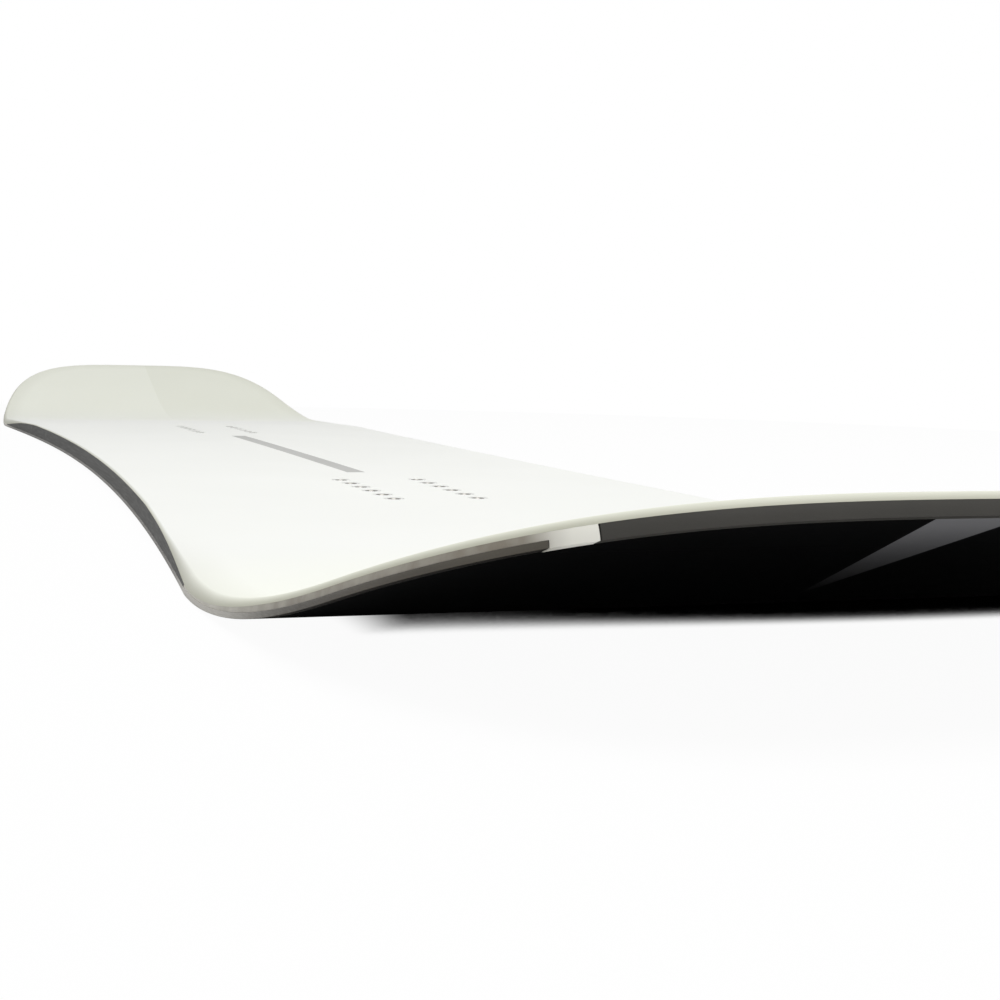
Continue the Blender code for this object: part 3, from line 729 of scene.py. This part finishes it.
def make_threaded_insert():
    """Blind bushing with a cut thread and a wide foot; its origin is on the board's top face."""
    mouth = -INSERT_BELOW_TOP
    foot = CORE_BOTTOM - STACK_TOP
    floor = foot + INSERT_FLOOR
    flange = foot + INSERT_FLANGE_THICKNESS
    tops = [
        (INSERT_BORE_RADIUS, mouth - MOUTH_CHAMFER, 0.0),
        (INSERT_BORE_RADIUS + MOUTH_CHAMFER, mouth, 0.0),
        (INSERT_BARREL_RADIUS - RIM_CHAMFER, mouth, 0.0),
        (INSERT_BARREL_RADIUS, mouth - RIM_CHAMFER, 0.0),
        (INSERT_BARREL_RADIUS, flange, 0.0),
        (INSERT_FLANGE_RADIUS - RIM_CHAMFER, flange, 0.0),
        (INSERT_FLANGE_RADIUS, flange - RIM_CHAMFER, 0.0),
        (INSERT_FLANGE_RADIUS, foot, 0.0),
    ]
    lowest = floor + THREAD_PITCH / 2
    highest = mouth - MOUTH_CHAMFER - THREAD_PITCH / 4
    count = round((highest - lowest) / THREAD_PITCH * ROWS_PER_THREAD)
    rings = [(INSERT_BORE_RADIUS, floor, 0.0)]
    for row in range(count + 1):
        ends = min(row, count - row)
        z = lowest + (highest - lowest) * row / count
        rings.append((INSERT_BORE_RADIUS, z, min(1.0, ends / 3)))
    bm = bmesh.new()
    rows = []
    for radius, z, thread in rings + tops:
        ring = []
        for step in range(THREAD_STEPS):
            around = step / THREAD_STEPS
            wave = abs((z / THREAD_PITCH - around) % 1.0 - 0.5) * 2
            reach = radius + THREAD_DEPTH * thread * wave
            turn = 2 * math.pi * around
            ring.append(bm.verts.new((reach * math.cos(turn), reach * math.sin(turn), z)))
        rows.append(ring)
    for low, high in zip(rows, rows[1:]):
        for i in range(THREAD_STEPS):
            j = (i + 1) % THREAD_STEPS
            bm.faces.new((low[i], low[j], high[j], high[i]))
    bm.faces.new(rows[0])
    bm.faces.new(rows[-1])
    insert = new_object("threaded_insert", bm)
    own_place = insert.data.attributes.new("turned", "FLOAT_VECTOR", "POINT")
    for vert in insert.data.vertices:
        own_place.data[vert.index].vector = vert.co
    return insert


def make_insert_pack(name, tree, insert, mount, material):
    """The inserts under one binding, on the pad that the frame's mount gives."""
    pack = new_object(name, bmesh.new())
    tilt = math.atan2(mount["axis"][0], mount["axis"][2])
    sizes = {
        "Insert": insert,
        "Per Row": INSERTS_PER_ROW,
        "Pitch": INSERT_PITCH,
        "Row Spacing": INSERT_ROW_SPACING,
        "Pad Centre": [float(value) for value in mount["pos_m"]],
        "Pad Tilt": [0.0, tilt, 0.0],
        "Material": material,
    }
    run_tree(pack, tree, sizes)
    pack.data.shade_smooth()
    pack.data.set_sharp_from_angle(angle=SMOOTH_ANGLE)
    return pack


# Materials. Each is a tree of nodes on the object's own coordinates, with its pattern sizes in real mm.

MM = 0.001

# Print of the topsheet: a centre stripe, and tips that turn creamy in two tones, parted along a line.
STRIPE_HALF_LENGTH = 0.174
STRIPE_HALF_WIDTH = 0.005
CREAM_FROM = 0.47
CREAM_GROWS_OVER = 0.15
TWO_TONE_LINE = 0.008

# Steel: a painted highlight this close to the widest places of the board, fading to dull steel again this far off.
WIDEST_AT = 0.555
PAINTED_HIGHLIGHT_WITHIN = 0.02
PAINTED_HIGHLIGHT_FADES_PAST = 0.09

# Wedge in the base: its point, the slopes of its two long sides, and how fast it pales.
WEDGE_POINT = 0.655
WEDGE_LOW_SLOPE = 0.07
WEDGE_HIGH_SLOPE = 0.27
WEDGE_PALES_OVER = 0.1


def srgb(text):
    """Linear colour of an sRGB hex value."""
    values = [int(text[i : i + 2], 16) / 255 for i in (0, 2, 4)]
    return (*(v / 12.92 if v <= 0.04045 else ((v + 0.055) / 1.055) ** 2.4 for v in values), 1.0)


def new_material(name, metallic=0.0, specular=0.5):
    """A Principled material, its tree and the object's own coordinates."""
    material = bpy.data.materials.new(name)
    material.use_nodes = True
    tree = material.node_tree
    shader = tree.nodes["Principled BSDF"]
    shader.inputs["Metallic"].default_value = metallic
    shader.inputs["Specular IOR Level"].default_value = specular
    return material, tree, add(tree, "ShaderNodeTexCoord").outputs["Object"]


def x_and_y(tree, place):
    axes = add(tree, "ShaderNodeSeparateXYZ", {0: place}).outputs
    return {"x": axes["X"], "y": axes["Y"]}


def stretched(tree, place, x, y, z):
    """The coordinates divided by a length in mm along each axis, so that one pattern unit is that long."""
    scale = (1 / (x * MM), 1 / (y * MM), 1 / (z * MM))
    return add(tree, "ShaderNodeMapping", {"Vector": place, "Scale": scale}).outputs[0]


def noise(tree, place, size_mm, detail):
    """Noise from 0 to 1 of this size, or of three sizes along the axes."""
    even = not isinstance(size_mm, tuple)
    lay = {"Vector": place if even else stretched(tree, place, *size_mm)}
    scale = 1 / (size_mm * MM) if even else 1.0
    return add(tree, "ShaderNodeTexNoise", {**lay, "Scale": scale, "Detail": detail}).outputs["Fac"]


def remap(tree, value, start, end, low, high, kind="LINEAR"):
    """low before start and high past end, with a straight or a smooth step between them."""
    limits = {"Value": value, "From Min": start, "From Max": end, "To Min": low, "To Max": high}
    return add(tree, "ShaderNodeMapRange", limits, interpolation_type=kind).outputs["Result"]


def smooth_share(tree, value, start, end):
    return remap(tree, value, start, end, 0.0, 1.0, "SMOOTHSTEP")


def blend(tree, share, first, second):
    """First colour at 0 and second at 1; a colour is a hex value or a socket."""
    pair = [srgb(colour) if isinstance(colour, str) else colour for colour in (first, second)]
    return add(tree, "ShaderNodeMix", {0: share, 6: pair[0], 7: pair[1]}, data_type="RGBA").outputs[2]


def finished(material, colour, roughness, height, relief_mm):
    """The material with its colour, roughness and relief linked; relief_mm is how high its relief stands."""
    tree = material.node_tree
    shader = tree.nodes["Principled BSDF"]
    bump = add(tree, "ShaderNodeBump", {"Height": height, "Strength": 1.0, "Distance": relief_mm * MM})
    tree.links.new(colour, shader.inputs["Base Color"])
    tree.links.new(roughness, shader.inputs["Roughness"])
    tree.links.new(bump.outputs[0], shader.inputs["Normal"])
    return material


def make_topsheet_polyamide():
    """Semi-gloss polyamide film: white along the run, creamy in the tips, and a greyer cream on its rolled rim that
    is partly the cut edge's colour and partly painted shade.
    """
    material, tree, place = new_material("printed_polyamide_topsheet", specular=0.2)
    rim = add(tree, "ShaderNodeAttribute", attribute_name="rim").outputs["Fac"]
    steps = [
        ("far x", "ABSOLUTE", "x"),
        ("far y", "ABSOLUTE", "y"),
        ("in length", "LESS_THAN", "far x", STRIPE_HALF_LENGTH),
        ("in width", "LESS_THAN", "far y", STRIPE_HALF_WIDTH),
        ("stripe", "MULTIPLY", "in length", "in width"),
        ("past run", "SUBTRACT", "far x", CREAM_FROM),
        ("tip share", "DIVIDE", "past run", CREAM_GROWS_OVER),
        ("tip begun", "MAXIMUM", "tip share", 0.0),
        ("tip", "MINIMUM", "tip begun", 1.0),
        ("half", "GREATER_THAN", "y", TWO_TONE_LINE),
        ("darker half", "MULTIPLY", "half", "tip"),
    ]
    values = run_steps(tree, steps, x_and_y(tree, place))
    # Slow cloudiness of the print and the resin under it, over about 16 cm.
    white = blend(tree, noise(tree, place, 160, 2.0), "F3F4F0", "F7F8F4")
    cream = blend(tree, values["darker half"], "F9FBEF", "F4F6E9")
    field = blend(tree, values["tip"], white, cream)
    printed = blend(tree, values["stripe"], field, "B7B7B4")
    # The rolled rim's tint: partly the cut edge's own cream, partly painted shade where the roll turns away from the
    # light.
    tinted_and_shaded = blend(tree, rim, printed, "CBCBBA")
    # Glass weave that shows faintly through the film, and handling smudges in its gloss.
    weave_place = {"Vector": stretched(tree, place, 1.6, 1.6, 50)}
    weave = add(tree, "ShaderNodeTexWave", {**weave_place, "Scale": 1.0, "Distortion": 1.5, "Detail": 1.0})
    gloss = remap(tree, noise(tree, place, 60, 4.0), 0.3, 0.7, 0.46, 0.58)
    return finished(material, tinted_and_shaded, gloss, weave.outputs["Fac"], 0.0015)


def make_sidewall_abs():
    """Dark grey ABS: planed along the board, then sanded, so its fine streaks run lengthwise."""
    material, tree, place = new_material("sanded_abs_sidewall", specular=0.25)
    streaks = noise(tree, place, (45, 0.8, 0.8), 3.0)
    grey = blend(tree, streaks, "3A3A38", "494947")
    # Pale scuffs where boots and other boards rub, on a small share of the surface.
    scuffs = remap(tree, noise(tree, place, 25, 5.0), 0.62, 0.72, 0.0, 0.35)
    colour = blend(tree, scuffs, grey, "6E6E6A")
    return finished(material, colour, remap(tree, streaks, 0.3, 0.7, 0.55, 0.72), streaks, 0.03)


def make_spacer_abs():
    """Cream ABS of the tips; its rim beside the steel edges is darkened to a dull taupe as painted shade, and its
    bare cream is near white, partly as a painted highlight.
    """
    material, tree, place = new_material("milled_abs_spacer")
    stained = add(tree, "ShaderNodeAttribute", attribute_name="stained").outputs["Fac"]
    patchy = remap(tree, noise(tree, place, 7, 4.0), 0.3, 0.7, 0.82, 1.0)
    # Painted shade: the share darkens the cream rim to taupe, with a little random patchiness.
    share = add(tree, "ShaderNodeMath", {0: stained, 1: patchy}, operation="MULTIPLY")
    colour = blend(tree, share.outputs[0], "FDFCF2", "878073")
    # Mill marks across the rim, about one each half millimetre.
    marks = noise(tree, place, (0.5, 0.5, 8), 2.0)
    return finished(material, colour, remap(tree, marks, 0.3, 0.7, 0.42, 0.56), marks, 0.01)


def make_guard_polyurethane():
    """Cast dark grey polyurethane: a dull skin with a soft pebbled texture and a few pale nicks."""
    material, tree, place = new_material("cast_polyurethane_guard", specular=0.3)
    pebbles = add(tree, "ShaderNodeTexVoronoi", {"Vector": place, "Scale": 1 / (0.9 * MM)}).outputs["Distance"]
    cloud = noise(tree, place, 14, 5.0)
    grey = blend(tree, cloud, "34332F", "44423E")
    colour = blend(tree, remap(tree, cloud, 0.66, 0.72, 0.0, 0.4), grey, "7C7A74")
    return finished(material, colour, remap(tree, cloud, 0.3, 0.7, 0.5, 0.62), pebbles, 0.02)


def make_edge_steel():
    """Hardened steel, ground along its length: a dull warm grey with long fine scratches.

    It is brighter where the board is widest, as at the near corner in the photograph; why is a guess. It is
    painted brighter where the board is widest, as at the near corner in the photograph: a painted highlight."""
    material, tree, place = new_material("ground_edge_steel", metallic=1.0)
    scratches = noise(tree, place, (30, 0.35, 0.35), 4.0)
    dull = blend(tree, noise(tree, place, 35, 4.0), "48453F", "5C5851")
    steps = [
        ("far x", "ABSOLUTE", "x"),
        ("from widest", "SUBTRACT", "far x", WIDEST_AT),
        ("off widest", "ABSOLUTE", "from widest"),
    ]
    off = run_steps(tree, steps, x_and_y(tree, place))["off widest"]
    # Painted highlight near the widest places, blended over the dull steel.
    colour = blend(tree, smooth_share(tree, off, PAINTED_HIGHLIGHT_FADES_PAST, PAINTED_HIGHLIGHT_WITHIN), dull, "A19E97")
    return finished(material, colour, remap(tree, scratches, 0.3, 0.7, 0.32, 0.48), scratches, 0.006)


def make_sintered_base():
    """Black sintered polyethylene with fine slanting grooves from the grinding stone, and waxed.

    A plain grey wedge lies toward each tip, and pales toward its wide end."""
    material, tree, place = new_material("stone_ground_polyethylene", specular=0.03)
    # Real grooves lie about 0.5 mm apart; drawn 1.5 mm apart they still resolve in a picture of the whole.
    turned = add(tree, "ShaderNodeVectorRotate", {"Vector": place, "Angle": math.radians(8)}, rotation_type="Z_AXIS")
    lay = {"Vector": turned.outputs[0], "Scale": 1 / (1.5 * MM), "Distortion": 0.6, "Detail": 1.0}
    grooves = add(tree, "ShaderNodeTexWave", lay, bands_direction="Y").outputs["Fac"]
    wax = noise(tree, place, 40, 4.0)
    black = blend(tree, wax, "030303", "0A0A0B")
    steps = [
        ("far x", "ABSOLUTE", "x"),
        ("past point", "SUBTRACT", "far x", WEDGE_POINT),
        ("side", "SIGN", "x"),
        ("beside", "MULTIPLY", "y", "side"),
        ("off axis", "MULTIPLY", "beside", -1.0),
        ("low", "MULTIPLY", "past point", WEDGE_LOW_SLOPE),
        ("high", "MULTIPLY", "past point", WEDGE_HIGH_SLOPE),
        ("over low", "GREATER_THAN", "off axis", "low"),
        ("under high", "LESS_THAN", "off axis", "high"),
        ("wedge", "MULTIPLY", "over low", "under high"),
        ("rise", "DIVIDE", "past point", WEDGE_PALES_OVER),
        ("begun", "MAXIMUM", "rise", 0.0),
        ("pale", "MULTIPLY", "begun", "wedge"),
    ]
    colour = blend(tree, run_steps(tree, steps, x_and_y(tree, place))["pale"], black, "747476")
    return finished(material, colour, remap(tree, wax, 0.3, 0.7, 0.62, 0.78), grooves, 0.008)


def make_turned_steel():
    """Stainless steel inserts: turning rings round each insert's own axis, and the bore with its thread and
    countersink darkened as painted shade.
    """
    material, tree, place = new_material("turned_stainless_steel", metallic=1.0)
    own_place = add(tree, "ShaderNodeAttribute", attribute_name="turned").outputs["Vector"]
    rings_of = {"Vector": own_place, "Scale": 1 / (0.6 * MM), "Distortion": 0.4, "Detail": 1.0}
    rings = add(tree, "ShaderNodeTexWave", rings_of, wave_type="RINGS", rings_direction="Z").outputs["Fac"]
    bright = blend(tree, noise(tree, place, 5, 3.0), "D2D2D0", "E6E6E4")
    flat = add(tree, "ShaderNodeVectorMath", {0: own_place, 1: (1, 1, 0)}, operation="MULTIPLY")
    radius = add(tree, "ShaderNodeVectorMath", {0: flat.outputs[0]}, operation="LENGTH").outputs["Value"]
    # Painted shade in the recess: the bore and its countersink are darker than the ring.
    bore = {0: radius, 1: INSERT_BORE_RADIUS + MOUTH_CHAMFER}
    painted_bore_shade = add(tree, "ShaderNodeMath", bore, operation="LESS_THAN").outputs[0]
    colour = blend(tree, painted_bore_shade, bright, "716F6B")
    return finished(material, colour, remap(tree, rings, 0.0, 1.0, 0.24, 0.38), rings, 0.008)


def make_glass_laminate():
    """Cured resin over crossed glass bundles: pale green, with the bundles at 45 degrees."""
    material, tree, place = new_material("glass_fibre_laminate")
    # Real bundles are about 2 mm wide.
    bundles = []
    for angle in (45, -45):
        turned = {"Vector": place, "Angle": math.radians(angle)}
        axis = add(tree, "ShaderNodeVectorRotate", turned, rotation_type="Z_AXIS")
        lay = {"Vector": axis.outputs[0], "Scale": 0.5 / (2 * MM), "Distortion": 0.3}
        bundles.append(add(tree, "ShaderNodeTexWave", lay).outputs["Fac"])
    weave = add(tree, "ShaderNodeMath", enumerate(bundles), operation="MULTIPLY").outputs[0]
    colour = blend(tree, weave, "AEB694", "CBD0B6")
    wet = remap(tree, noise(tree, place, 20, 3.0), 0.3, 0.7, 0.28, 0.45)
    return finished(material, colour, wet, weave, 0.05)


def make_lath_wood(name, early, late, ring_mm):
    """Planed lath: growth rings cut lengthwise, fine pores, and a matt sanded face."""
    material, tree, place = new_material(name, specular=0.3)
    ring_place = {"Vector": stretched(tree, place, 30 * ring_mm, ring_mm, ring_mm)}
    rings = add(tree, "ShaderNodeTexWave", {**ring_place, "Scale": 0.5, "Distortion": 3.0, "Detail": 3.0})
    grain = blend(tree, rings.outputs["Fac"], early, late)
    pores = noise(tree, place, (12, 0.4, 0.4), 3.0)
    colour = blend(tree, remap(tree, pores, 0.55, 0.75, 0.0, 0.3), grain, "6E5234")
    return finished(material, colour, remap(tree, pores, 0.0, 1.0, 0.62, 0.78), pores, 0.04)


def make_damping_rubber():
    """Calendered rubber foil: near black, with a fine cloth-like grain and a chalky dusting."""
    material, tree, place = new_material("calendered_rubber_foil", specular=0.3)
    grain = noise(tree, place, 0.5, 3.0)
    dust = noise(tree, place, 18, 5.0)
    colour = blend(tree, dust, "161616", "2C2B2A")
    return finished(material, colour, remap(tree, dust, 0.0, 1.0, 0.7, 0.88), grain, 0.03)


def make_insert_plate_sheet():
    """Pressed fibre sheet: brown, flecked with short fibres, and slightly glossy from its resin."""
    material, tree, place = new_material("pressed_fibre_sheet", specular=0.4)
    fleck_place = {"Vector": stretched(tree, place, 4, 0.6, 0.6)}
    flecks = add(tree, "ShaderNodeTexVoronoi", {**fleck_place, "Scale": 1.0}).outputs["Distance"]
    pressed = remap(tree, noise(tree, place, 15, 4.0), 0.3, 0.7, 0.4, 0.55)
    return finished(material, blend(tree, flecks, "5E4528", "8A6C44"), pressed, flecks, 0.03)


# Assembly.


def dress_frame(nodes):
    """Inner layers keep their solids from the frame, and get their own materials."""
    poplar = make_lath_wood("planed_poplar_lath", "D9BE92", "C4A273", 2.2)
    beech = make_lath_wood("planed_beech_lath", "C99A6B", "B07F52", 1.4)
    looks = {
        "lower_laminate": make_glass_laminate(),
        "edge_damping": make_damping_rubber(),
        "insert_plate": make_insert_plate_sheet(),
        "core_lath": poplar,
    }
    looks["upper_laminate"] = looks["lower_laminate"]
    hard_laths = ("core_lath_left_1", "core_lath_right_1", "core_lath_left_4", "core_lath_right_4")
    for name, node in nodes.items():
        for part, material in looks.items():
            if part in name:
                node.data.materials.clear()
                node.data.materials.append(beech if name in hard_laths else material)


def make_board():
    press_tree = make_press_tree()
    dark_abs = make_sidewall_abs()
    cream_abs = make_spacer_abs()
    cast_pu = make_guard_polyurethane()
    steel = make_edge_steel()

    def lay_up(piece, material, slot, node):
        """Presses a flat piece, which stands for this node of the frame."""
        dress(press(piece, press_tree, material), slot, node)

    lay_up(make_topsheet(), make_topsheet_polyamide(), "topsheet_plastic", "topsheet")
    for name, side in (("left", 1), ("right", -1)):
        wall = make_sidewall(f"snowboard_sidewall_{name}", side)
        lay_up(wall, dark_abs, "sidewall_plastic", f"sidewall_{name}")
        edge = make_steel_edge(f"snowboard_edge_{name}", side)
        lay_up(edge, steel, "edge_steel", f"steel_edge_{name}")
    for name, end in (("nose", 1), ("tail", -1)):
        spacer = make_tip_spacer(f"snowboard_{name}_spacer", end)
        lay_up(spacer, cream_abs, "spacer_plastic", f"{name}_tip_spacer")
        guard = make_tip_guard(f"snowboard_{name}_guard", end)
        lay_up(guard, cast_pu, "guard_plastic", f"{name}_tip_guard")
    lay_up(make_base(), make_sintered_base(), "running_base", "base")
    turned_steel = make_turned_steel()
    insert_tree = make_insert_tree()
    insert = make_threaded_insert()
    mounts = {mount["name"]: mount for mount in frame["record"]["mounts"]}
    for name in ("front", "rear"):
        mount = mounts[f"{name}_binding_pad"]
        pack = make_insert_pack(f"{name}_threaded_inserts", insert_tree, insert, mount, turned_steel)
        nodes = [node for node in frame["nodes"] if node.startswith(f"{name}_insert_") and "plate" not in node]
        dress(pack, "insert_steel", *nodes)
    bpy.data.objects.remove(insert, do_unlink=True)
    dress_frame(frame["nodes"])


make_board()


# Floor, light and camera.

CAMERA_PLACE = Vector((1.0593, -0.2268, 0.0802))
CAMERA_YAW = 0.3358
CAMERA_PITCH = 0.0894
CAMERA_ROLL = 0.0228
CAMERA_LENS = 61.13
SENSOR_WIDTH = 36.0

# Paper. Occlusion is counted within the reach, shifted across the floor from near to far, and shown between
# the two limits; the near side is washed out, and the paper is plain white that far from the middle.
SHADOW_REACH = 0.012
SHADOW_HELD = 0.96
SHIFT_NEAR = -0.1
SHIFT_FAR = 0.07
FAR_SHIFT = -0.14
BLACK_UNDER = 0.01
WHITE_OVER = 0.23
WASH_FROM = -0.085
WASHED_AT = -0.112
PAPER_FADES_FROM = 0.8
PLAIN_WHITE_AT = 1.1

WORLD_FILL = 0.28
SOFTBOX_PLACE = (0.8, 0.1, 2.3)
SOFTBOX_SIZE = 1.6
SOFTBOX_POWER = 45.5


def ray_kinds(tree):
    """Shares of the rays that show the backdrop: in the picture, in a reflection or through glass."""
    path = add(tree, "ShaderNodeLightPath").outputs
    rays = {"camera": path["Is Camera Ray"], "glossy": path["Is Glossy Ray"], "clear": path["Is Transmission Ray"]}
    steps = [("direct", "MAXIMUM", "camera", "glossy"), ("seen", "MAXIMUM", "direct", "clear")]
    return run_steps(tree, steps, rays)


def make_floor():
    """White paper. In the picture its shadows are held pale, and stay black only in the tightest gap.

    That strip is set by place to match the photograph, not by a lamp: it reaches further toward the far side
    and fades out beside the near edge. Past the softbox's reach the paper is plain white wherever it is seen."""
    bpy.ops.mesh.primitive_circle_add(vertices=64, radius=60.0, fill_type="NGON", location=(0, 0, 0))
    floor = bpy.context.object
    floor.name = "studio_floor"
    material = bpy.data.materials.new("matt_white_paper")
    material.use_nodes = True
    tree = material.node_tree
    tree.nodes.clear()
    paper = add(tree, "ShaderNodeBsdfDiffuse", {"Color": srgb("F4F4F4")})
    place = add(tree, "ShaderNodeTexCoord").outputs["Object"]
    across = x_and_y(tree, place)["y"]
    gap = add(tree, "ShaderNodeAmbientOcclusion", {"Distance": SHADOW_REACH}, samples=32).outputs["AO"]
    deeper = {0: smooth_share(tree, across, SHIFT_NEAR, SHIFT_FAR), 1: FAR_SHIFT, 2: gap}
    deeper_gap = add(tree, "ShaderNodeMath", deeper, operation="MULTIPLY_ADD").outputs[0]
    open_share = smooth_share(tree, deeper_gap, BLACK_UNDER, WHITE_OVER)
    washed = smooth_share(tree, across, WASH_FROM, WASHED_AT)
    lit = add(tree, "ShaderNodeMath", {0: open_share, 1: washed}, operation="MAXIMUM")
    white = add(tree, "ShaderNodeEmission", {"Color": (1, 1, 1, 1), "Strength": lit.outputs[0]})
    away = add(tree, "ShaderNodeVectorMath", {0: place}, operation="LENGTH").outputs["Value"]
    steps = [
        ("held near", "MULTIPLY", "camera", SHADOW_HELD),
        ("held", "MAXIMUM", "held near", "far"),
        ("white share", "MULTIPLY", "held", "seen"),
    ]
    far = smooth_share(tree, away, PAPER_FADES_FROM, PLAIN_WHITE_AT)
    shares = run_steps(tree, steps, {**ray_kinds(tree), "far": far})
    seen = add(tree, "ShaderNodeMixShader", {0: shares["white share"], 1: paper.outputs[0], 2: white.outputs[0]})
    back = add(tree, "ShaderNodeNewGeometry").outputs["Backfacing"]
    clear = add(tree, "ShaderNodeBsdfTransparent")
    sided = add(tree, "ShaderNodeMixShader", {0: back, 1: seen.outputs[0], 2: clear.outputs[0]})
    add(tree, "ShaderNodeOutputMaterial", {"Surface": sided.outputs[0]})
    floor.data.materials.append(material)


def make_world():
    world = bpy.data.worlds.new("white_studio")
    world.use_nodes = True
    tree = world.node_tree
    tree.nodes.clear()
    fill = add(tree, "ShaderNodeBackground", {"Color": (1, 1, 1, 1), "Strength": WORLD_FILL})
    white = add(tree, "ShaderNodeBackground", {"Color": (1, 1, 1, 1), "Strength": 1.0})
    both = add(tree, "ShaderNodeMixShader", {0: ray_kinds(tree)["seen"], 1: fill.outputs[0], 2: white.outputs[0]})
    add(tree, "ShaderNodeOutputWorld", {"Surface": both.outputs[0]})
    bpy.context.scene.world = world


def make_lights():
    """One big softbox over the near half of the board, so that the far tip is a little dimmer."""
    data = bpy.data.lights.new("overhead_softbox", "AREA")
    data.shape = "SQUARE"
    data.size = SOFTBOX_SIZE
    data.energy = SOFTBOX_POWER
    lamp = bpy.data.objects.new("overhead_softbox", data)
    lamp.location = SOFTBOX_PLACE
    bpy.context.scene.collection.objects.link(lamp)


def make_camera():
    data = bpy.data.cameras.new("photograph_view")
    data.lens = CAMERA_LENS
    data.sensor_width = SENSOR_WIDTH
    data.clip_start = 0.01
    data.clip_end = 200.0
    camera = bpy.data.objects.new("photograph_view", data)
    level = math.cos(CAMERA_PITCH)
    ahead = Vector((-math.cos(CAMERA_YAW) * level, math.sin(CAMERA_YAW) * level, -math.sin(CAMERA_PITCH)))
    right = ahead.cross(Vector((0, 0, 1))).normalized()
    up = right.cross(ahead)
    rolled_right = right * math.cos(CAMERA_ROLL) + up * math.sin(CAMERA_ROLL)
    rolled_up = up * math.cos(CAMERA_ROLL) - right * math.sin(CAMERA_ROLL)
    turned = Matrix((rolled_right, rolled_up, -ahead)).transposed().to_4x4()
    camera.matrix_world = Matrix.Translation(CAMERA_PLACE) @ turned
    bpy.context.scene.collection.objects.link(camera)
    bpy.context.scene.camera = camera


make_floor()
make_world()
make_lights()
make_camera()
bpy.context.scene.view_settings.view_transform = "Standard"
